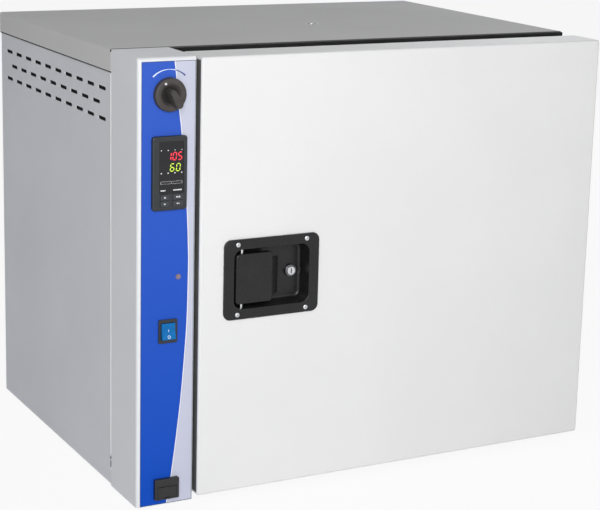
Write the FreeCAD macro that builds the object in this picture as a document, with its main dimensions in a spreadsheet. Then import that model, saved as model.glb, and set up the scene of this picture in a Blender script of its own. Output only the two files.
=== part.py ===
import FreeCAD, Part
import os
from types import SimpleNamespace

import Sketcher
from FreeCAD import Placement, Rotation, Vector

# Bench-top laboratory drying oven, in millimetres.
# +Z is up, +X is to the right seen from the front, and the front faces -Y.
# The origin is on the surface that the oven stands on, at the centre of its outline.

SIZES = {
    # Cabinet shell of folded sheet
    "cabinet_width": 712.0,
    "cabinet_height": 596.0,
    "cabinet_depth": 455.0,
    "sheet": 1.2,
    "panel_gap": 0.3,
    "cover_bend": 3.0,
    "cover_skirt": 29.0,
    "cover_lap": 20.0,
    "side_flange": 14.0,
    "side_bend": 2.0,
    "base_rise": 13.2,
    "foot_reach": 3.0,
    "foot_radius": 15.0,
    "foot_inset": 45.0,
    # Ventilation slots of the left side panel
    "slot_length": 27.4,
    "slot_height": 5.2,
    "slot_row_pitch": 20.25,
    "slot_top_row": 55.0,
    "slot_first": 37.2,
    "slot_last": 41.6,
    "slot_count": 10.0,
    "relief_height": 21.0,
    "relief_width": 0.9,
    "notch_width": 2.2,
    "notch_height": 7.0,
    "notch_lift": 25.5,
    "tab_slit_height": 2.4,
    "tab_slit_lift": 35.5,
    # Control box
    "control_width": 79.5,
    "control_depth": 89.0,
    "control_wall": 1.5,
    "control_bend": 4.5,
    "overlay_thickness": 0.3,
    "overlay_left_inset": 4.8,
    "overlay_right_inset": 0.5,
    "overlay_top_inset": 5.0,
    "overlay_bottom_inset": 0.8,
    "cutout_gap": 0.2,
    # Door
    "door_gap": 4.0,
    "door_edge_inset": 6.0,
    "door_proud": 9.0,
    "door_thickness": 58.0,
    "door_lift": 7.0,
    "door_drop": 0.8,
    "door_bend": 3.0,
    "liner_plug_inset": 8.0,
    "liner_plug_depth": 17.0,
    "liner_plug_round": 12.0,
    "gasket_offset": 15.0,
    "gasket_width": 14.0,
    "gasket_clearance": 0.3,
    "gasket_round": 18.0,
    # Chamber and its frame
    "chamber_right_inset": 63.2,
    "chamber_lift": 80.2,
    "chamber_drop": 76.2,
    "frame_depth": 33.0,
    "frame_margin": 39.0,
    "frame_wall": 1.5,
    "frame_corner": 10.0,
    "insulation_rear_thickness": 43.5,
    "insulation_rear_gap": 4.2,
    "insulation_left_thickness": 47.0,
    "partition_inset": 93.0,
    # Vent tube, probe and shelf racks
    "vent_bore_radius": 8.0,
    "vent_wall": 1.5,
    "vent_across": 392.3,
    "vent_back": 188.5,
    "hole_clearance": 0.2,
    "probe_radius": 3.0,
    "probe_length": 62.0,
    "probe_drop": 22.0,
    "probe_across": 64.0,
    "gland_radius": 7.0,
    "gland_length": 6.0,
    "rack_sheet": 1.5,
    "rack_reach": 12.0,
    "rack_levels": 6.0,
    "rack_first": 40.0,
    "rack_last": 74.6,
    "rack_margin": 6.0,
    "shelf_rod_radius": 3.0,
    "shelf_wire_radius": 1.5,
    "shelf_wire_count": 19.0,
    "shelf_side_gap": 2.0,
    "shelf_setback": 5.0,
    "shelf_rear_gap": 8.0,
    "lower_shelf_level": 1.0,
    "upper_shelf_level": 3.0,
    "contact_gap": 0.3,
    # Fan, baffle and ring heater
    "motor_radius": 36.0,
    "motor_length": 50.0,
    "motor_flange": 90.0,
    "motor_flange_thickness": 3.0,
    "motor_bore_depth": 35.0,
    "shaft_radius": 4.0,
    "running_gap": 0.05,
    "shaft_hole_radius": 8.0,
    "impeller_radius": 65.0,
    "impeller_width": 14.0,
    "impeller_disc": 1.5,
    "impeller_hub_radius": 12.0,
    "impeller_blade": 1.5,
    "impeller_blade_inner": 30.0,
    "impeller_blades": 12.0,
    "impeller_wall_gap": 4.0,
    "baffle_depth": 26.0,
    "baffle_margin": 6.0,
    "baffle_intake_radius": 45.0,
    "baffle_outlet_width": 10.0,
    "baffle_outlet_height": 30.0,
    "baffle_outlet_end": 51.8,
    "baffle_outlets": 8.0,
    "baffle_outlet_inset": 16.0,
    "heater_ring_radius": 82.0,
    "heater_rod_radius": 4.0,
    "heater_leg_spread": 18.0,
    # Air control
    "knob_across": 42.3,
    "knob_drop": 47.3,
    "knob_radius": 22.0,
    "knob_skirt": 7.5,
    "knob_grip_height": 14.5,
    "knob_grip_width": 14.0,
    "knob_grip_length": 40.0,
    "knob_round": 1.5,
    "knob_angle": -28.0,
    "knob_seat": 0.3,
    "air_shaft_radius": 3.0,
    "air_shaft_tail": 6.0,
    "bushing_radius": 5.5,
    "bushing_length": 12.0,
    "bushing_nut_radius": 8.5,
    "bushing_nut_length": 4.0,
    "duct_back": 36.0,
    "duct_width": 40.0,
    "duct_wall": 1.0,
    "duct_drop": 118.0,
    "duct_rise": 26.0,
    "flap_plate": 1.2,
    "flap_play": 1.0,
    "flap_rest_angle": 16.0,
    # Controller
    "bezel_width": 48.0,
    "bezel_height": 96.0,
    "bezel_depth": 5.2,
    "bezel_corner": 4.0,
    "bezel_edge": 1.6,
    "bezel_drop": 100.0,
    "case_inset": 1.5,
    "case_length": 66.0,
    "window_left": 8.9,
    "window_width": 34.0,
    "window_height": 67.5,
    "window_drop": 6.4,
    "window_thickness": 1.2,
    "window_recess": 0.5,
    "key_height": 7.6,
    "key_gap": 1.0,
    "key_bottom": 5.0,
    "left_key_offset": 10.6,
    "left_key_width": 11.6,
    "right_key_offset": 28.0,
    "right_key_width": 13.6,
    "key_proud": 1.1,
    "key_depth": 4.0,
    "key_play": 0.3,
    "key_round": 0.4,
    # Lamp, switch and service port
    "lamp_across": 56.7,
    "lamp_height": 310.2,
    "lamp_radius": 2.5,
    "lamp_proud": 2.0,
    "lamp_body": 9.0,
    "lamp_ring_radius": 3.6,
    "lamp_ring_proud": 0.8,
    "switch_height": 238.7,
    "switch_width": 26.4,
    "switch_length": 31.6,
    "switch_proud": 2.2,
    "switch_body_depth": 26.0,
    "switch_body_inset": 1.8,
    "switch_corner": 2.0,
    "rocker_width": 18.6,
    "rocker_length": 21.4,
    "rocker_gap": 0.8,
    "rocker_tilt": 9.0,
    "rocker_proud": 3.4,
    "rocker_dip": 1.6,
    "rocker_depth": 5.0,
    "rocker_well": 13.0,
    "port_left": 24.0,
    "port_width": 34.6,
    "port_height": 28.6,
    "port_lift": 8.4,
    "port_proud": 6.0,
    "port_body_depth": 24.0,
    "port_body_inset": 2.5,
    "port_corner": 1.5,
    "port_edge": 1.2,
    "port_groove_height": 1.2,
    "port_groove_depth": 1.0,
    "port_cavity_width": 27.0,
    "port_cavity_height": 16.0,
    "port_cavity_lift": 1.8,
    "port_cavity_depth": 14.0,
    "port_flap_thickness": 2.2,
    "port_flap_gap": 0.4,
    "port_pin_radius": 0.6,
    "port_pin_reach": 1.5,
    "port_notch_width": 9.0,
    "port_notch_height": 4.0,
    "port_notch_depth": 1.2,
    "socket_width": 16.0,
    "socket_height": 10.0,
    "socket_depth": 8.0,
    "socket_wall": 1.2,
    # Flush handle
    "handle_across": 187.3,
    "handle_rise": 2.0,
    "handle_width": 140.0,
    "handle_tall": 108.5,
    "handle_plate": 3.0,
    "handle_corner": 10.0,
    "handle_edge": 1.0,
    "dish_width": 111.0,
    "dish_tall": 81.0,
    "dish_corner": 12.0,
    "dish_depth": 22.0,
    "dish_draft": 9.0,
    "dish_wall": 1.5,
    "dish_floor_round": 4.0,
    "dish_rim_round": 1.2,
    "lock_scallop": 16.5,
    "scallop_height": 12.0,
    "screw_spread_across": 101.2,
    "screw_spread_up": 94.8,
    "screw_head_radius": 3.4,
    "screw_head_height": 1.6,
    "screw_shank_radius": 2.0,
    "screw_shank_length": 8.0,
    "paddle_left": 2.8,
    "paddle_width": 53.6,
    "paddle_tall": 68.0,
    "paddle_depth": 8.0,
    "paddle_wall": 2.2,
    "paddle_corner": 5.0,
    "paddle_edge": 2.4,
    "paddle_recess": 0.4,
    "lip_reach": 11.5,
    "lip_fall": 8.0,
    "lip_thickness": 2.4,
    "lip_inset": 9.0,
    "pivot_across": 13.0,
    "pivot_depth": 6.0,
    "pivot_radius": 2.0,
    "pivot_barrel": 3.8,
    "tab_width": 9.0,
    "tab_thickness": 3.0,
    "tab_reach": 22.0,
    # Latch
    "bolt_height": 13.0,
    "bolt_thickness": 4.0,
    "bolt_setback": 0.6,
    "bolt_reach": 10.0,
    "bolt_tail": 12.0,
    "bolt_window": 6.6,
    "bolt_bevel": 3.0,
    "bolt_play": 0.3,
    "bridge_width": 6.0,
    "bridge_wall": 2.0,
    "strike_thickness": 1.2,
    "strike_height": 38.0,
    "strike_width": 18.0,
    "strike_play": 0.8,
    # Key lock
    "lock_across": 37.2,
    "lock_collar_radius": 8.5,
    "lock_collar_height": 4.5,
    "lock_barrel_radius": 7.5,
    "lock_barrel_length": 16.0,
    "plug_radius": 5.5,
    "plug_proud": 0.8,
    "keyway_width": 1.4,
    "keyway_length": 7.0,
    "keyway_depth": 8.0,
    "cam_length": 20.0,
    "cam_width": 9.0,
    "cam_thickness": 2.0,
    "cam_gap": 0.5,
    # Hinges
    "hinge_inset": 12.0,
    "hinge_behind": 13.0,
    "hinge_length": 60.0,
    "hinge_low": 110.0,
    "hinge_drop": 56.0,
    "hinge_barrel": 5.5,
    "hinge_pin_radius": 3.0,
    "hinge_pin_head": 5.0,
    "hinge_pin_cap": 2.0,
    "hinge_leaf": 2.5,
    "hinge_leaf_width": 18.0,
    "hinge_arm": 5.0,
    "hinge_split": 0.4,
    # Rear: mains inlet, screws and relay
    "inlet_across": 50.0,
    "inlet_height": 90.0,
    "inlet_width": 48.0,
    "inlet_tall": 34.0,
    "inlet_rim": 2.5,
    "inlet_body_width": 28.0,
    "inlet_body_tall": 21.0,
    "inlet_body_depth": 22.0,
    "inlet_well_width": 24.0,
    "inlet_well_tall": 16.0,
    "inlet_well_depth": 16.0,
    "inlet_pin_width": 2.0,
    "inlet_pin_tall": 4.0,
    "inlet_pin_length": 12.0,
    "inlet_pin_pitch": 7.0,
    "rear_screw_radius": 4.0,
    "rear_screw_head": 2.0,
    "rear_screw_shank": 1.9,
    "rear_screw_length": 6.0,
    "rear_screw_inset": 7.5,
    "rear_screw_end": 13.0,
    "relay_height": 190.0,
    "relay_back": 60.0,
    "relay_width": 60.0,
    "relay_tall": 90.0,
    "relay_base": 4.0,
    "relay_fin": 2.0,
    "relay_fin_reach": 22.0,
    "relay_fins": 7.0,
    "relay_module": 14.0,
    "wire_hole_radius": 14.0,
}

SHEET_NAME = "Sizes"
COUNT_LIMIT = 0.5
TOUCH = 1e-4


class Size:
    """A size with its value and the formula that gives it from the sheet."""

    def __init__(self, number, formula):
        self.number = number
        self.formula = formula

    def __add__(self, other):
        other = as_size(other)
        return Size(self.number + other.number, f"({self.formula} + {other.formula})")

    def __sub__(self, other):
        other = as_size(other)
        return Size(self.number - other.number, f"({self.formula} - {other.formula})")

    def __mul__(self, other):
        other = as_size(other)
        return Size(self.number * other.number, f"{self.formula} * {other.formula}")

    def __truediv__(self, other):
        other = as_size(other)
        return Size(self.number / other.number, f"{self.formula} / {other.formula}")

    def __neg__(self):
        return as_size(0) - self

    __radd__ = __add__
    __rmul__ = __mul__

    def __rsub__(self, other):
        return as_size(other) - self


def as_size(value):
    """Turn a plain number into a Size."""
    if isinstance(value, Size):
        return value
    return Size(float(value), f"({float(value)})")


doc = FreeCAD.newDocument("LaboratoryOven")
sheet = doc.addObject("Spreadsheet::Sheet", SHEET_NAME)
for row, (word, number) in enumerate(SIZES.items(), start=1):
    sheet.set(f"A{row}", word)
    sheet.set(f"B{row}", str(number))
    sheet.setAlias(f"B{row}", word)
doc.recompute()
dim = SimpleNamespace(**{
    word: Size(number, f"{SHEET_NAME}.{word}") for word, number in SIZES.items()
})
pieces = []


# Document helpers

def bind(item, name, value):
    """Tie one property of an object to the sheet."""
    item.setExpression(name, as_size(value).formula)


def place(item, point):
    """Tie an object's place to the sheet."""
    for axis, value in zip("xyz", point):
        bind(item, f"Placement.Base.{axis}", value)


def keep(item, label):
    """Name a finished piece and put it on the list of pieces."""
    item.Label = label
    pieces.append(item)
    return item


def block(low, high):
    """A rectangular block between two corners."""
    item = doc.addObject("Part::Box", "Block")
    for name, start, end in zip(("Length", "Width", "Height"), low, high):
        bind(item, name, as_size(end) - start)
    place(item, low)
    return item


TURN_FROM_UP = {
    "x": Rotation(Vector(0, 1, 0), 90),
    "y": Rotation(Vector(1, 0, 0), -90),
    "z": Rotation(),
}


def rod(start, axis, radius, length):
    """A round rod that runs from its start along an axis."""
    item = doc.addObject("Part::Cylinder", "Rod")
    bind(item, "Radius", radius)
    bind(item, "Height", length)
    item.Placement = Placement(Vector(), TURN_FROM_UP[axis])
    place(item, start)
    return item


def join(*parts):
    """One solid made of several."""
    item = doc.addObject("Part::MultiFuse", "Join")
    item.Shapes = list(parts)
    item.Refine = True
    return item


def cut(base, *tools):
    """A solid with other solids taken out of it."""
    item = doc.addObject("Part::Cut", "Cut")
    item.Base = base
    item.Tool = tools[0] if len(tools) == 1 else join(*tools)
    return item


def group(*parts):
    """Several separate solids kept together."""
    item = doc.addObject("Part::Compound", "Group")
    item.Links = list(parts)
    return item


# Sketch helpers

def tie_point(sketch, geometry, point, across, up):
    """Tie one point of a sketch to its distances from the sketch's origin."""
    for kind, value in (("DistanceX", as_size(across)), ("DistanceY", as_size(up))):
        rule = Sketcher.Constraint(kind, -1, 1, geometry, point, value.number)
        index = sketch.addConstraint(rule)
        sketch.setExpression(f"Constraints[{index}]", value.formula)


def tie_radius(sketch, geometry, radius):
    """Tie the radius of a circle or an arc."""
    radius = as_size(radius)
    index = sketch.addConstraint(Sketcher.Constraint("Radius", geometry, radius.number))
    sketch.setExpression(f"Constraints[{index}]", radius.formula)


def flat_point(point):
    """The plain vector of a two-dimensional point."""
    return Vector(as_size(point[0]).number, as_size(point[1]).number, 0)


def polygon(*points):
    """A closed outline of straight lines."""
    def draw(sketch):
        first = sketch.GeometryCount
        count = len(points)
        for index in range(count):
            start = flat_point(points[index])
            end = flat_point(points[(index + 1) % count])
            sketch.addGeometry(Part.LineSegment(start, end), False)
        for index in range(count):
            after = (index + 1) % count
            rule = Sketcher.Constraint("Coincident", first + index, 2, first + after, 1)
            sketch.addConstraint(rule)
        for index, (across, up) in enumerate(points):
            tie_point(sketch, first + index, 1, across, up)
    return draw


def rectangle(low, high):
    """A rectangle between two corners."""
    return polygon(low, (high[0], low[1]), high, (low[0], high[1]))


def circle(centre, radius):
    """A full circle."""
    def draw(sketch):
        shape = Part.Circle(flat_point(centre), Vector(0, 0, 1), as_size(radius).number)
        index = sketch.addGeometry(shape, False)
        tie_point(sketch, index, 3, *centre)
        tie_radius(sketch, index, radius)
    return draw


def rounded(low, high, radius):
    """A rectangle with four equal round corners."""
    left, bottom = low
    right, top = high
    quarter = 1.5707963267948966
    centres = (
        (right - radius, bottom + radius, -quarter),
        (right - radius, top - radius, 0.0),
        (left + radius, top - radius, quarter),
        (left + radius, bottom + radius, 2 * quarter),
    )

    def draw(sketch):
        first = sketch.GeometryCount
        for across, up, start in centres:
            full = Part.Circle(flat_point((across, up)), Vector(0, 0, 1), radius.number)
            sketch.addGeometry(Part.ArcOfCircle(full, start, start + quarter), False)
        for index in range(4):
            after = (index + 1) % 4
            start = sketch.getPoint(first + index, 2)
            end = sketch.getPoint(first + after, 1)
            line = sketch.addGeometry(Part.LineSegment(start, end), False)
            sketch.addConstraint(Sketcher.Constraint("Tangent", first + index, 2, line, 1))
            sketch.addConstraint(Sketcher.Constraint("Tangent", line, 2, first + after, 1))
            kind = "Vertical" if index % 2 == 0 else "Horizontal"
            sketch.addConstraint(Sketcher.Constraint(kind, line))
        for index, (across, up, _) in enumerate(centres):
            if index % 2 == 0:
                tie_point(sketch, first + index, 3, across, up)
        tie_radius(sketch, first, radius)
    return draw


def both(*outlines):
    """Several outlines in one sketch."""
    def draw(sketch):
        for outline in outlines:
            outline(sketch)
    return draw


def new_body(name):
    """An empty body."""
    return doc.addObject("PartDesign::Body", name)


def origin_feature(body, role):
    """A plane or an axis of a body's own origin."""
    return next(item for item in body.Origin.OriginFeatures if item.Role == role)


def sketch_at(body, plane, height, draw):
    """A sketch on a plane of the body's origin, lifted to a height."""
    sketch = body.newObject("Sketcher::SketchObject", "Sketch")
    sketch.AttachmentSupport = (origin_feature(body, f"{plane}_Plane"), [""])
    sketch.MapMode = "FlatFace"
    bind(sketch, "AttachmentOffset.Base.z", height)
    draw(sketch)
    return sketch


def pad(body, plane, low, high, draw):
    """Pad an outline between two places on the axis that its plane faces."""
    low, high = as_size(low), as_size(high)
    height = -high if plane == "XZ" else low
    sketch = sketch_at(body, plane, height, draw)
    feature = body.newObject("PartDesign::Pad", "Pad")
    feature.Profile = sketch
    bind(feature, "Length", high - low)
    return feature


def pad_narrowing(body, low, high, draw, draft):
    """Pad an outline towards the back, narrowing by a draft angle."""
    sketch = sketch_at(body, "XZ", -as_size(low), draw)
    feature = body.newObject("PartDesign::Pad", "Pad")
    feature.Profile = sketch
    feature.Reversed = True
    bind(feature, "Length", high - low)
    bind(feature, "TaperAngle", -draft)
    return feature


def pocket(body, plane, low, high, draw, draft=None):
    """Cut an outline out of a body between two places on the plane's axis."""
    low, high = as_size(low), as_size(high)
    height = -low if plane == "XZ" else high
    sketch = sketch_at(body, plane, height, draw)
    feature = body.newObject("PartDesign::Pocket", "Pocket")
    feature.Profile = sketch
    bind(feature, "Length", high - low)
    if draft is not None:
        bind(feature, "TaperAngle", -draft)
    return feature


def edge_at(edge, axis, value):
    """Whether an edge lies in a plane across one axis."""
    wanted = as_size(value).number
    index = "xyz".index(axis)
    return all(abs(vertex.Point[index] - wanted) < TOUCH for vertex in edge.Vertexes)


def fillet(body, radius, test):
    """Round the edges of a body that pass a test."""
    doc.recompute()
    base = body.Tip
    names = [f"Edge{number}" for number, edge in enumerate(base.Shape.Edges, 1) if test(edge)]
    feature = body.newObject("PartDesign::Fillet", "Fillet")
    feature.Base = (base, names)
    bind(feature, "Radius", radius)
    return feature


def hollow(body, wall, axis, value):
    """Hollow a body out to a wall, open at one flat side."""
    doc.recompute()
    base = body.Tip
    index = "xyz".index(axis)
    wanted = as_size(value).number
    names = []
    for number, face in enumerate(base.Shape.Faces, 1):
        corners = [vertex.Point[index] for vertex in face.Vertexes]
        if all(abs(corner - wanted) < TOUCH for corner in corners):
            names.append(f"Face{number}")
    feature = body.newObject("PartDesign::Thickness", "Thickness")
    feature.Base = (base, names)
    feature.Mode = 0
    feature.Join = 0
    feature.Reversed = True
    bind(feature, "Value", wall)
    return feature


def tray(name, low, high, open_side, wall, bend):
    """A folded sheet tray: five walls with rounded bends and one open side."""
    body = new_body(name)
    pad(body, "XY", low[2], high[2], rectangle(low[:2], high[:2]))
    sign, axis = open_side
    index = "xyz".index(axis)
    end = high[index] if sign == "+" else low[index]
    fillet(body, bend, lambda edge: not edge_at(edge, axis, end))
    hollow(body, wall, axis, end)
    return body


def whole(value):
    """The whole number of copies that a count stands for."""
    return int(value.number + COUNT_LIMIT)


# Places of the main planes, worked out from the sizes

left = -dim.cabinet_width / 2
right = dim.cabinet_width / 2
knob_reach = dim.overlay_thickness + dim.knob_seat + dim.knob_skirt + dim.knob_grip_height
outline_depth = knob_reach + dim.control_depth + dim.cabinet_depth + dim.inlet_rim
front = knob_reach - outline_depth / 2
body_front = front + dim.control_depth
back = body_front + dim.cabinet_depth
bottom = dim.foot_reach
top = bottom + dim.cabinet_height

side_left = left + dim.sheet + dim.panel_gap
side_right = right - dim.sheet - dim.panel_gap
side_top = top - dim.cover_skirt + dim.cover_lap
side_front = body_front + dim.sheet + dim.panel_gap
rear_face = back - dim.sheet - dim.panel_gap
rear_inner = rear_face - dim.sheet
inner_left = side_left + dim.side_bend
inner_right = side_right - dim.side_bend
inner_top = side_top - dim.side_bend
bulkhead_front = side_front + dim.sheet
bulkhead_back = bulkhead_front + dim.sheet
inner_back = rear_inner - dim.side_bend
base_low = bottom + dim.sheet
base_top = bottom + dim.base_rise

control_right = left + dim.control_width
overlay_front = front - dim.overlay_thickness

door_left = control_right + dim.door_gap
door_right = right - dim.door_edge_inset
door_front = front - dim.door_proud
door_back = door_front + dim.door_thickness
door_bottom = bottom + dim.door_lift
door_top = top - dim.door_drop

partition_left = left + dim.partition_inset
partition_right = partition_left + dim.sheet
insulation_top = inner_top
insulation_rear = inner_back - dim.insulation_rear_gap
chamber_left = partition_right + dim.insulation_left_thickness
chamber_right = right - dim.chamber_right_inset
chamber_floor = bottom + dim.chamber_lift
chamber_ceiling = top - dim.chamber_drop
chamber_front = bulkhead_back
chamber_rear = insulation_rear - dim.insulation_rear_thickness - dim.sheet

frame_front = bulkhead_front - dim.frame_depth
frame_low = (chamber_left - dim.frame_margin, chamber_floor - dim.frame_margin)
frame_high = (chamber_right + dim.frame_margin, chamber_ceiling + dim.frame_margin)

vent_x = left + dim.vent_across
vent_y = body_front + dim.vent_back
fan_y = (chamber_front + chamber_rear) / 2
fan_z = (chamber_floor + chamber_ceiling) / 2
knob_x = left + dim.knob_across
knob_z = top - dim.knob_drop
duct_y = bulkhead_back + dim.duct_back

handle_x = left + dim.handle_across
handle_z = bottom + dim.cabinet_height / 2 + dim.handle_rise
plate_front = door_front - dim.handle_plate
dish_floor = plate_front + dim.dish_depth
dish_back = dish_floor + dim.dish_wall
dish_left = handle_x - dim.dish_width / 2
dish_right = handle_x + dim.dish_width / 2
dish_low = handle_z - dim.dish_tall / 2
dish_high = handle_z + dim.dish_tall / 2
paddle_left = dish_left + dim.paddle_left
pivot_x = dish_left + dim.pivot_across
pivot_y = plate_front + dim.pivot_depth
bolt_front = dish_back + dim.bolt_setback
bolt_back = bolt_front + dim.bolt_thickness
bolt_low = handle_z - dim.bolt_height / 2
bolt_high = handle_z + dim.bolt_height / 2
lock_x = handle_x + dim.lock_across

hinge_x = right - dim.hinge_inset
hinge_y = door_back + dim.hinge_behind
shell_hole = dim.vent_bore_radius + dim.vent_wall + dim.hole_clearance


# Cabinet shell

def build_top_cover():
    """The lid: a tray of folded sheet, open below, with the vent hole."""
    body = tray("TopCover", (left, body_front, top - dim.cover_skirt), (right, back, top),
                "-z", dim.sheet, dim.cover_bend)
    pocket(body, "XY", top - dim.cover_bend, top, circle((vent_x, vent_y), shell_hole))
    keep(body, "top_cover")


def slot_outline(row, first):
    """One ventilation slot with round ends, on the side panel's plane."""
    half = dim.slot_length / 2
    centre_y = body_front + dim.slot_first + first
    centre_z = top - dim.slot_top_row - dim.slot_row_pitch * row
    low = (centre_y - half, centre_z - dim.slot_height / 2)
    high = (centre_y + half, centre_z + dim.slot_height / 2)
    return rounded(low, high, dim.slot_height * 0.49)


def front_edge_notches():
    """The corner relief, the notch and the slit low on the panel's front edge."""
    def opening(lift, height, width):
        low = (side_front, bottom + lift)
        return rectangle(low, (low[0] + width, low[1] + height))

    return both(opening(as_size(0), dim.relief_height, dim.relief_width),
                opening(dim.notch_lift, dim.notch_height, dim.notch_width),
                opening(dim.tab_slit_lift, dim.tab_slit_height, dim.notch_width))


def build_left_side_panel():
    """The left side: a shallow tray with three rows of slots, the middle one staggered."""
    body = tray("LeftSidePanel", (side_left, side_front, bottom),
                (side_left + dim.side_flange, rear_inner, side_top),
                "+x", dim.sheet, dim.side_bend)
    slot_pitch = (dim.cabinet_depth - dim.slot_first - dim.slot_last) / (dim.slot_count - 1)
    rows = ((0, as_size(0), dim.slot_count), (1, slot_pitch / 2, dim.slot_count - 1),
            (2, as_size(0), dim.slot_count))
    for row, first, count in rows:
        slot = pocket(body, "YZ", left, side_left + dim.sheet * 2, slot_outline(row, first))
        pattern = body.newObject("PartDesign::LinearPattern", "Slots")
        pattern.Originals = [slot]
        pattern.Direction = (origin_feature(body, "Y_Axis"), [""])
        bind(pattern, "Length", slot_pitch * (count - 1))
        bind(pattern, "Occurrences", count)
        body.Tip = pattern
    pocket(body, "YZ", side_left, side_left + dim.side_bend, front_edge_notches())
    pocket_screw_holes(body, rear_screw_columns()[0])
    keep(body, "left_side_panel")


def build_right_side_panel():
    """The right side: the same tray without slots."""
    body = tray("RightSidePanel", (side_right - dim.side_flange, side_front, bottom),
                (side_right, rear_inner, side_top), "-x", dim.sheet, dim.side_bend)
    pocket_screw_holes(body, rear_screw_columns()[1])
    keep(body, "right_side_panel")


def rear_screw_columns():
    """Where the rear panel is screwed to the flange of each side."""
    low_z = base_top + dim.rear_screw_end
    reach = top - dim.cover_skirt - dim.rear_screw_end - low_z
    heights = [low_z + reach * share / 3 for share in range(4)]
    left_x = side_left + dim.rear_screw_inset
    right_x = side_right - dim.rear_screw_inset
    return [(left_x, height) for height in heights], [(right_x, height) for height in heights]


def pocket_screw_holes(body, places):
    """The holes in the rear flange of a side, where the screws bite."""
    holes = [circle(spot, dim.rear_screw_shank) for spot in places]
    pocket(body, "XZ", rear_inner - dim.side_bend, rear_inner, both(*holes))


def build_rear_panel():
    """The flat rear panel, with the cut-out of the mains inlet and its screw holes."""
    body = new_body("RearPanel")
    pad(body, "XZ", rear_inner, rear_face,
        rectangle((inner_left, bottom), (inner_right, side_top)))
    gap = dim.cutout_gap
    centre = (left + dim.inlet_across, bottom + dim.inlet_height)
    half = (dim.inlet_body_width / 2 + gap, dim.inlet_body_tall / 2 + gap)
    opening = rectangle((centre[0] - half[0], centre[1] - half[1]),
                        (centre[0] + half[0], centre[1] + half[1]))
    spots = sum(rear_screw_columns(), [])
    holes = [circle(spot, dim.rear_screw_shank + gap) for spot in spots]
    pocket(body, "XZ", rear_inner, rear_face, both(opening, *holes))
    keep(body, "rear_panel")


def build_rear_screws():
    """Eight screws that hold the rear panel."""
    screws = []
    for across, up in sum(rear_screw_columns(), []):
        head = rod((across, rear_face, up), "y", dim.rear_screw_radius, dim.rear_screw_head)
        start = rear_face - dim.rear_screw_length
        shank = rod((across, start, up), "y", dim.rear_screw_shank, dim.rear_screw_length)
        screws.append(join(head, shank))
    keep(group(*screws), "rear_screws")


def build_base_panel():
    """The base: a flat sheet with a strip welded under each edge, on the sides' flanges."""
    wall = dim.sheet
    under = base_top - wall
    flat = block((inner_left, bulkhead_back, under), (inner_right, inner_back, base_top))
    strip_left, strip_right = inner_left + wall, inner_right - wall
    strips = [
        block((inner_left, bulkhead_back, base_low), (strip_left, inner_back, under)),
        block((strip_right, bulkhead_back, base_low), (inner_right, inner_back, under)),
        block((strip_left, bulkhead_back, base_low), (strip_right, bulkhead_back + wall, under)),
        block((strip_left, inner_back - wall, base_low), (strip_right, inner_back, under)),
    ]
    keep(group(flat, *strips), "base_panel")


def build_feet():
    """Four rubber feet under the base."""
    feet = []
    for across in (left + dim.foot_inset, right - dim.foot_inset):
        for along in (body_front + dim.foot_inset, back - dim.foot_inset):
            height = base_top - dim.sheet
            foot = rod((across, along, as_size(0)), "z", dim.foot_radius, height)
            feet.append(foot)
    keep(group(*feet), "feet")


def build_front_panel():
    """The bulkhead behind the control box and the collar, with the chamber's mouth."""
    body = new_body("FrontPanel")
    pad(body, "XZ", bulkhead_front, bulkhead_back,
        rectangle((inner_left, bottom + dim.side_bend), (inner_right, inner_top)))
    mouth = rectangle((chamber_left, chamber_floor), (chamber_right, chamber_ceiling))
    shaft = circle((knob_x, knob_z), dim.air_shaft_radius * 2)
    wires = circle((knob_x, bottom + dim.relay_height), dim.wire_hole_radius)
    pocket(body, "XZ", bulkhead_front, bulkhead_back, both(mouth, shaft, wires))
    keep(body, "front_panel")


def build_front_frame():
    """The collar that the door's gasket meets: a channel folded round the mouth."""
    body = new_body("FrontFrame")
    wall = dim.frame_wall
    mouth_low = (chamber_left, chamber_floor)
    mouth_high = (chamber_right, chamber_ceiling)
    outer = rounded(frame_low, frame_high, dim.frame_corner)
    pad(body, "XZ", frame_front, bulkhead_front, both(outer, rectangle(mouth_low, mouth_high)))
    low = (frame_low[0] + wall, frame_low[1] + wall)
    high = (frame_high[0] - wall, frame_high[1] - wall)
    inner_low = (mouth_low[0] - wall, mouth_low[1] - wall)
    inner_high = (mouth_high[0] + wall, mouth_high[1] + wall)
    channel = both(rounded(low, high, dim.frame_corner - wall), rectangle(inner_low, inner_high))
    pocket(body, "XZ", frame_front + wall, bulkhead_front, channel)
    keep(body, "front_frame")


# Chamber

def wall_sheet(name, plane, low, outline, *holes):
    """One flat sheet of the chamber, with the holes in it."""
    body = new_body(name)
    pad(body, plane, low, low + dim.sheet, outline)
    if holes:
        pocket(body, plane, low, low + dim.sheet, both(*holes))
    return body


def build_chamber():
    """The stainless chamber: five sheets welded along their edges, open at the front."""
    wall = dim.sheet
    rear = chamber_rear + wall
    level = rectangle((chamber_left - wall, chamber_front), (chamber_right + wall, rear))
    upright = rectangle((chamber_front, chamber_floor), (rear, chamber_ceiling))
    across = rectangle((chamber_left, chamber_floor), (chamber_right, chamber_ceiling))
    vent = circle((vent_x, vent_y), shell_hole)
    shaft = circle((fan_y, fan_z), dim.shaft_hole_radius)
    legs = [circle(spot, dim.heater_rod_radius + dim.hole_clearance)
            for spot in heater_leg_places()]
    probe = circle(probe_place(), dim.probe_radius + dim.hole_clearance)
    floor = wall_sheet("ChamberFloor", "XY", chamber_floor - wall, level)
    ceiling = wall_sheet("ChamberCeiling", "XY", chamber_ceiling, level, vent)
    left_wall = wall_sheet("ChamberLeft", "YZ", chamber_left - wall, upright,
                           shaft, duct_mouth(dim.duct_wall), *legs)
    right_wall = wall_sheet("ChamberRight", "YZ", chamber_right, upright)
    rear_wall = wall_sheet("ChamberRear", "XZ", chamber_rear, across, probe)
    keep(group(floor, ceiling, left_wall, right_wall, rear_wall), "chamber")


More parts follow.
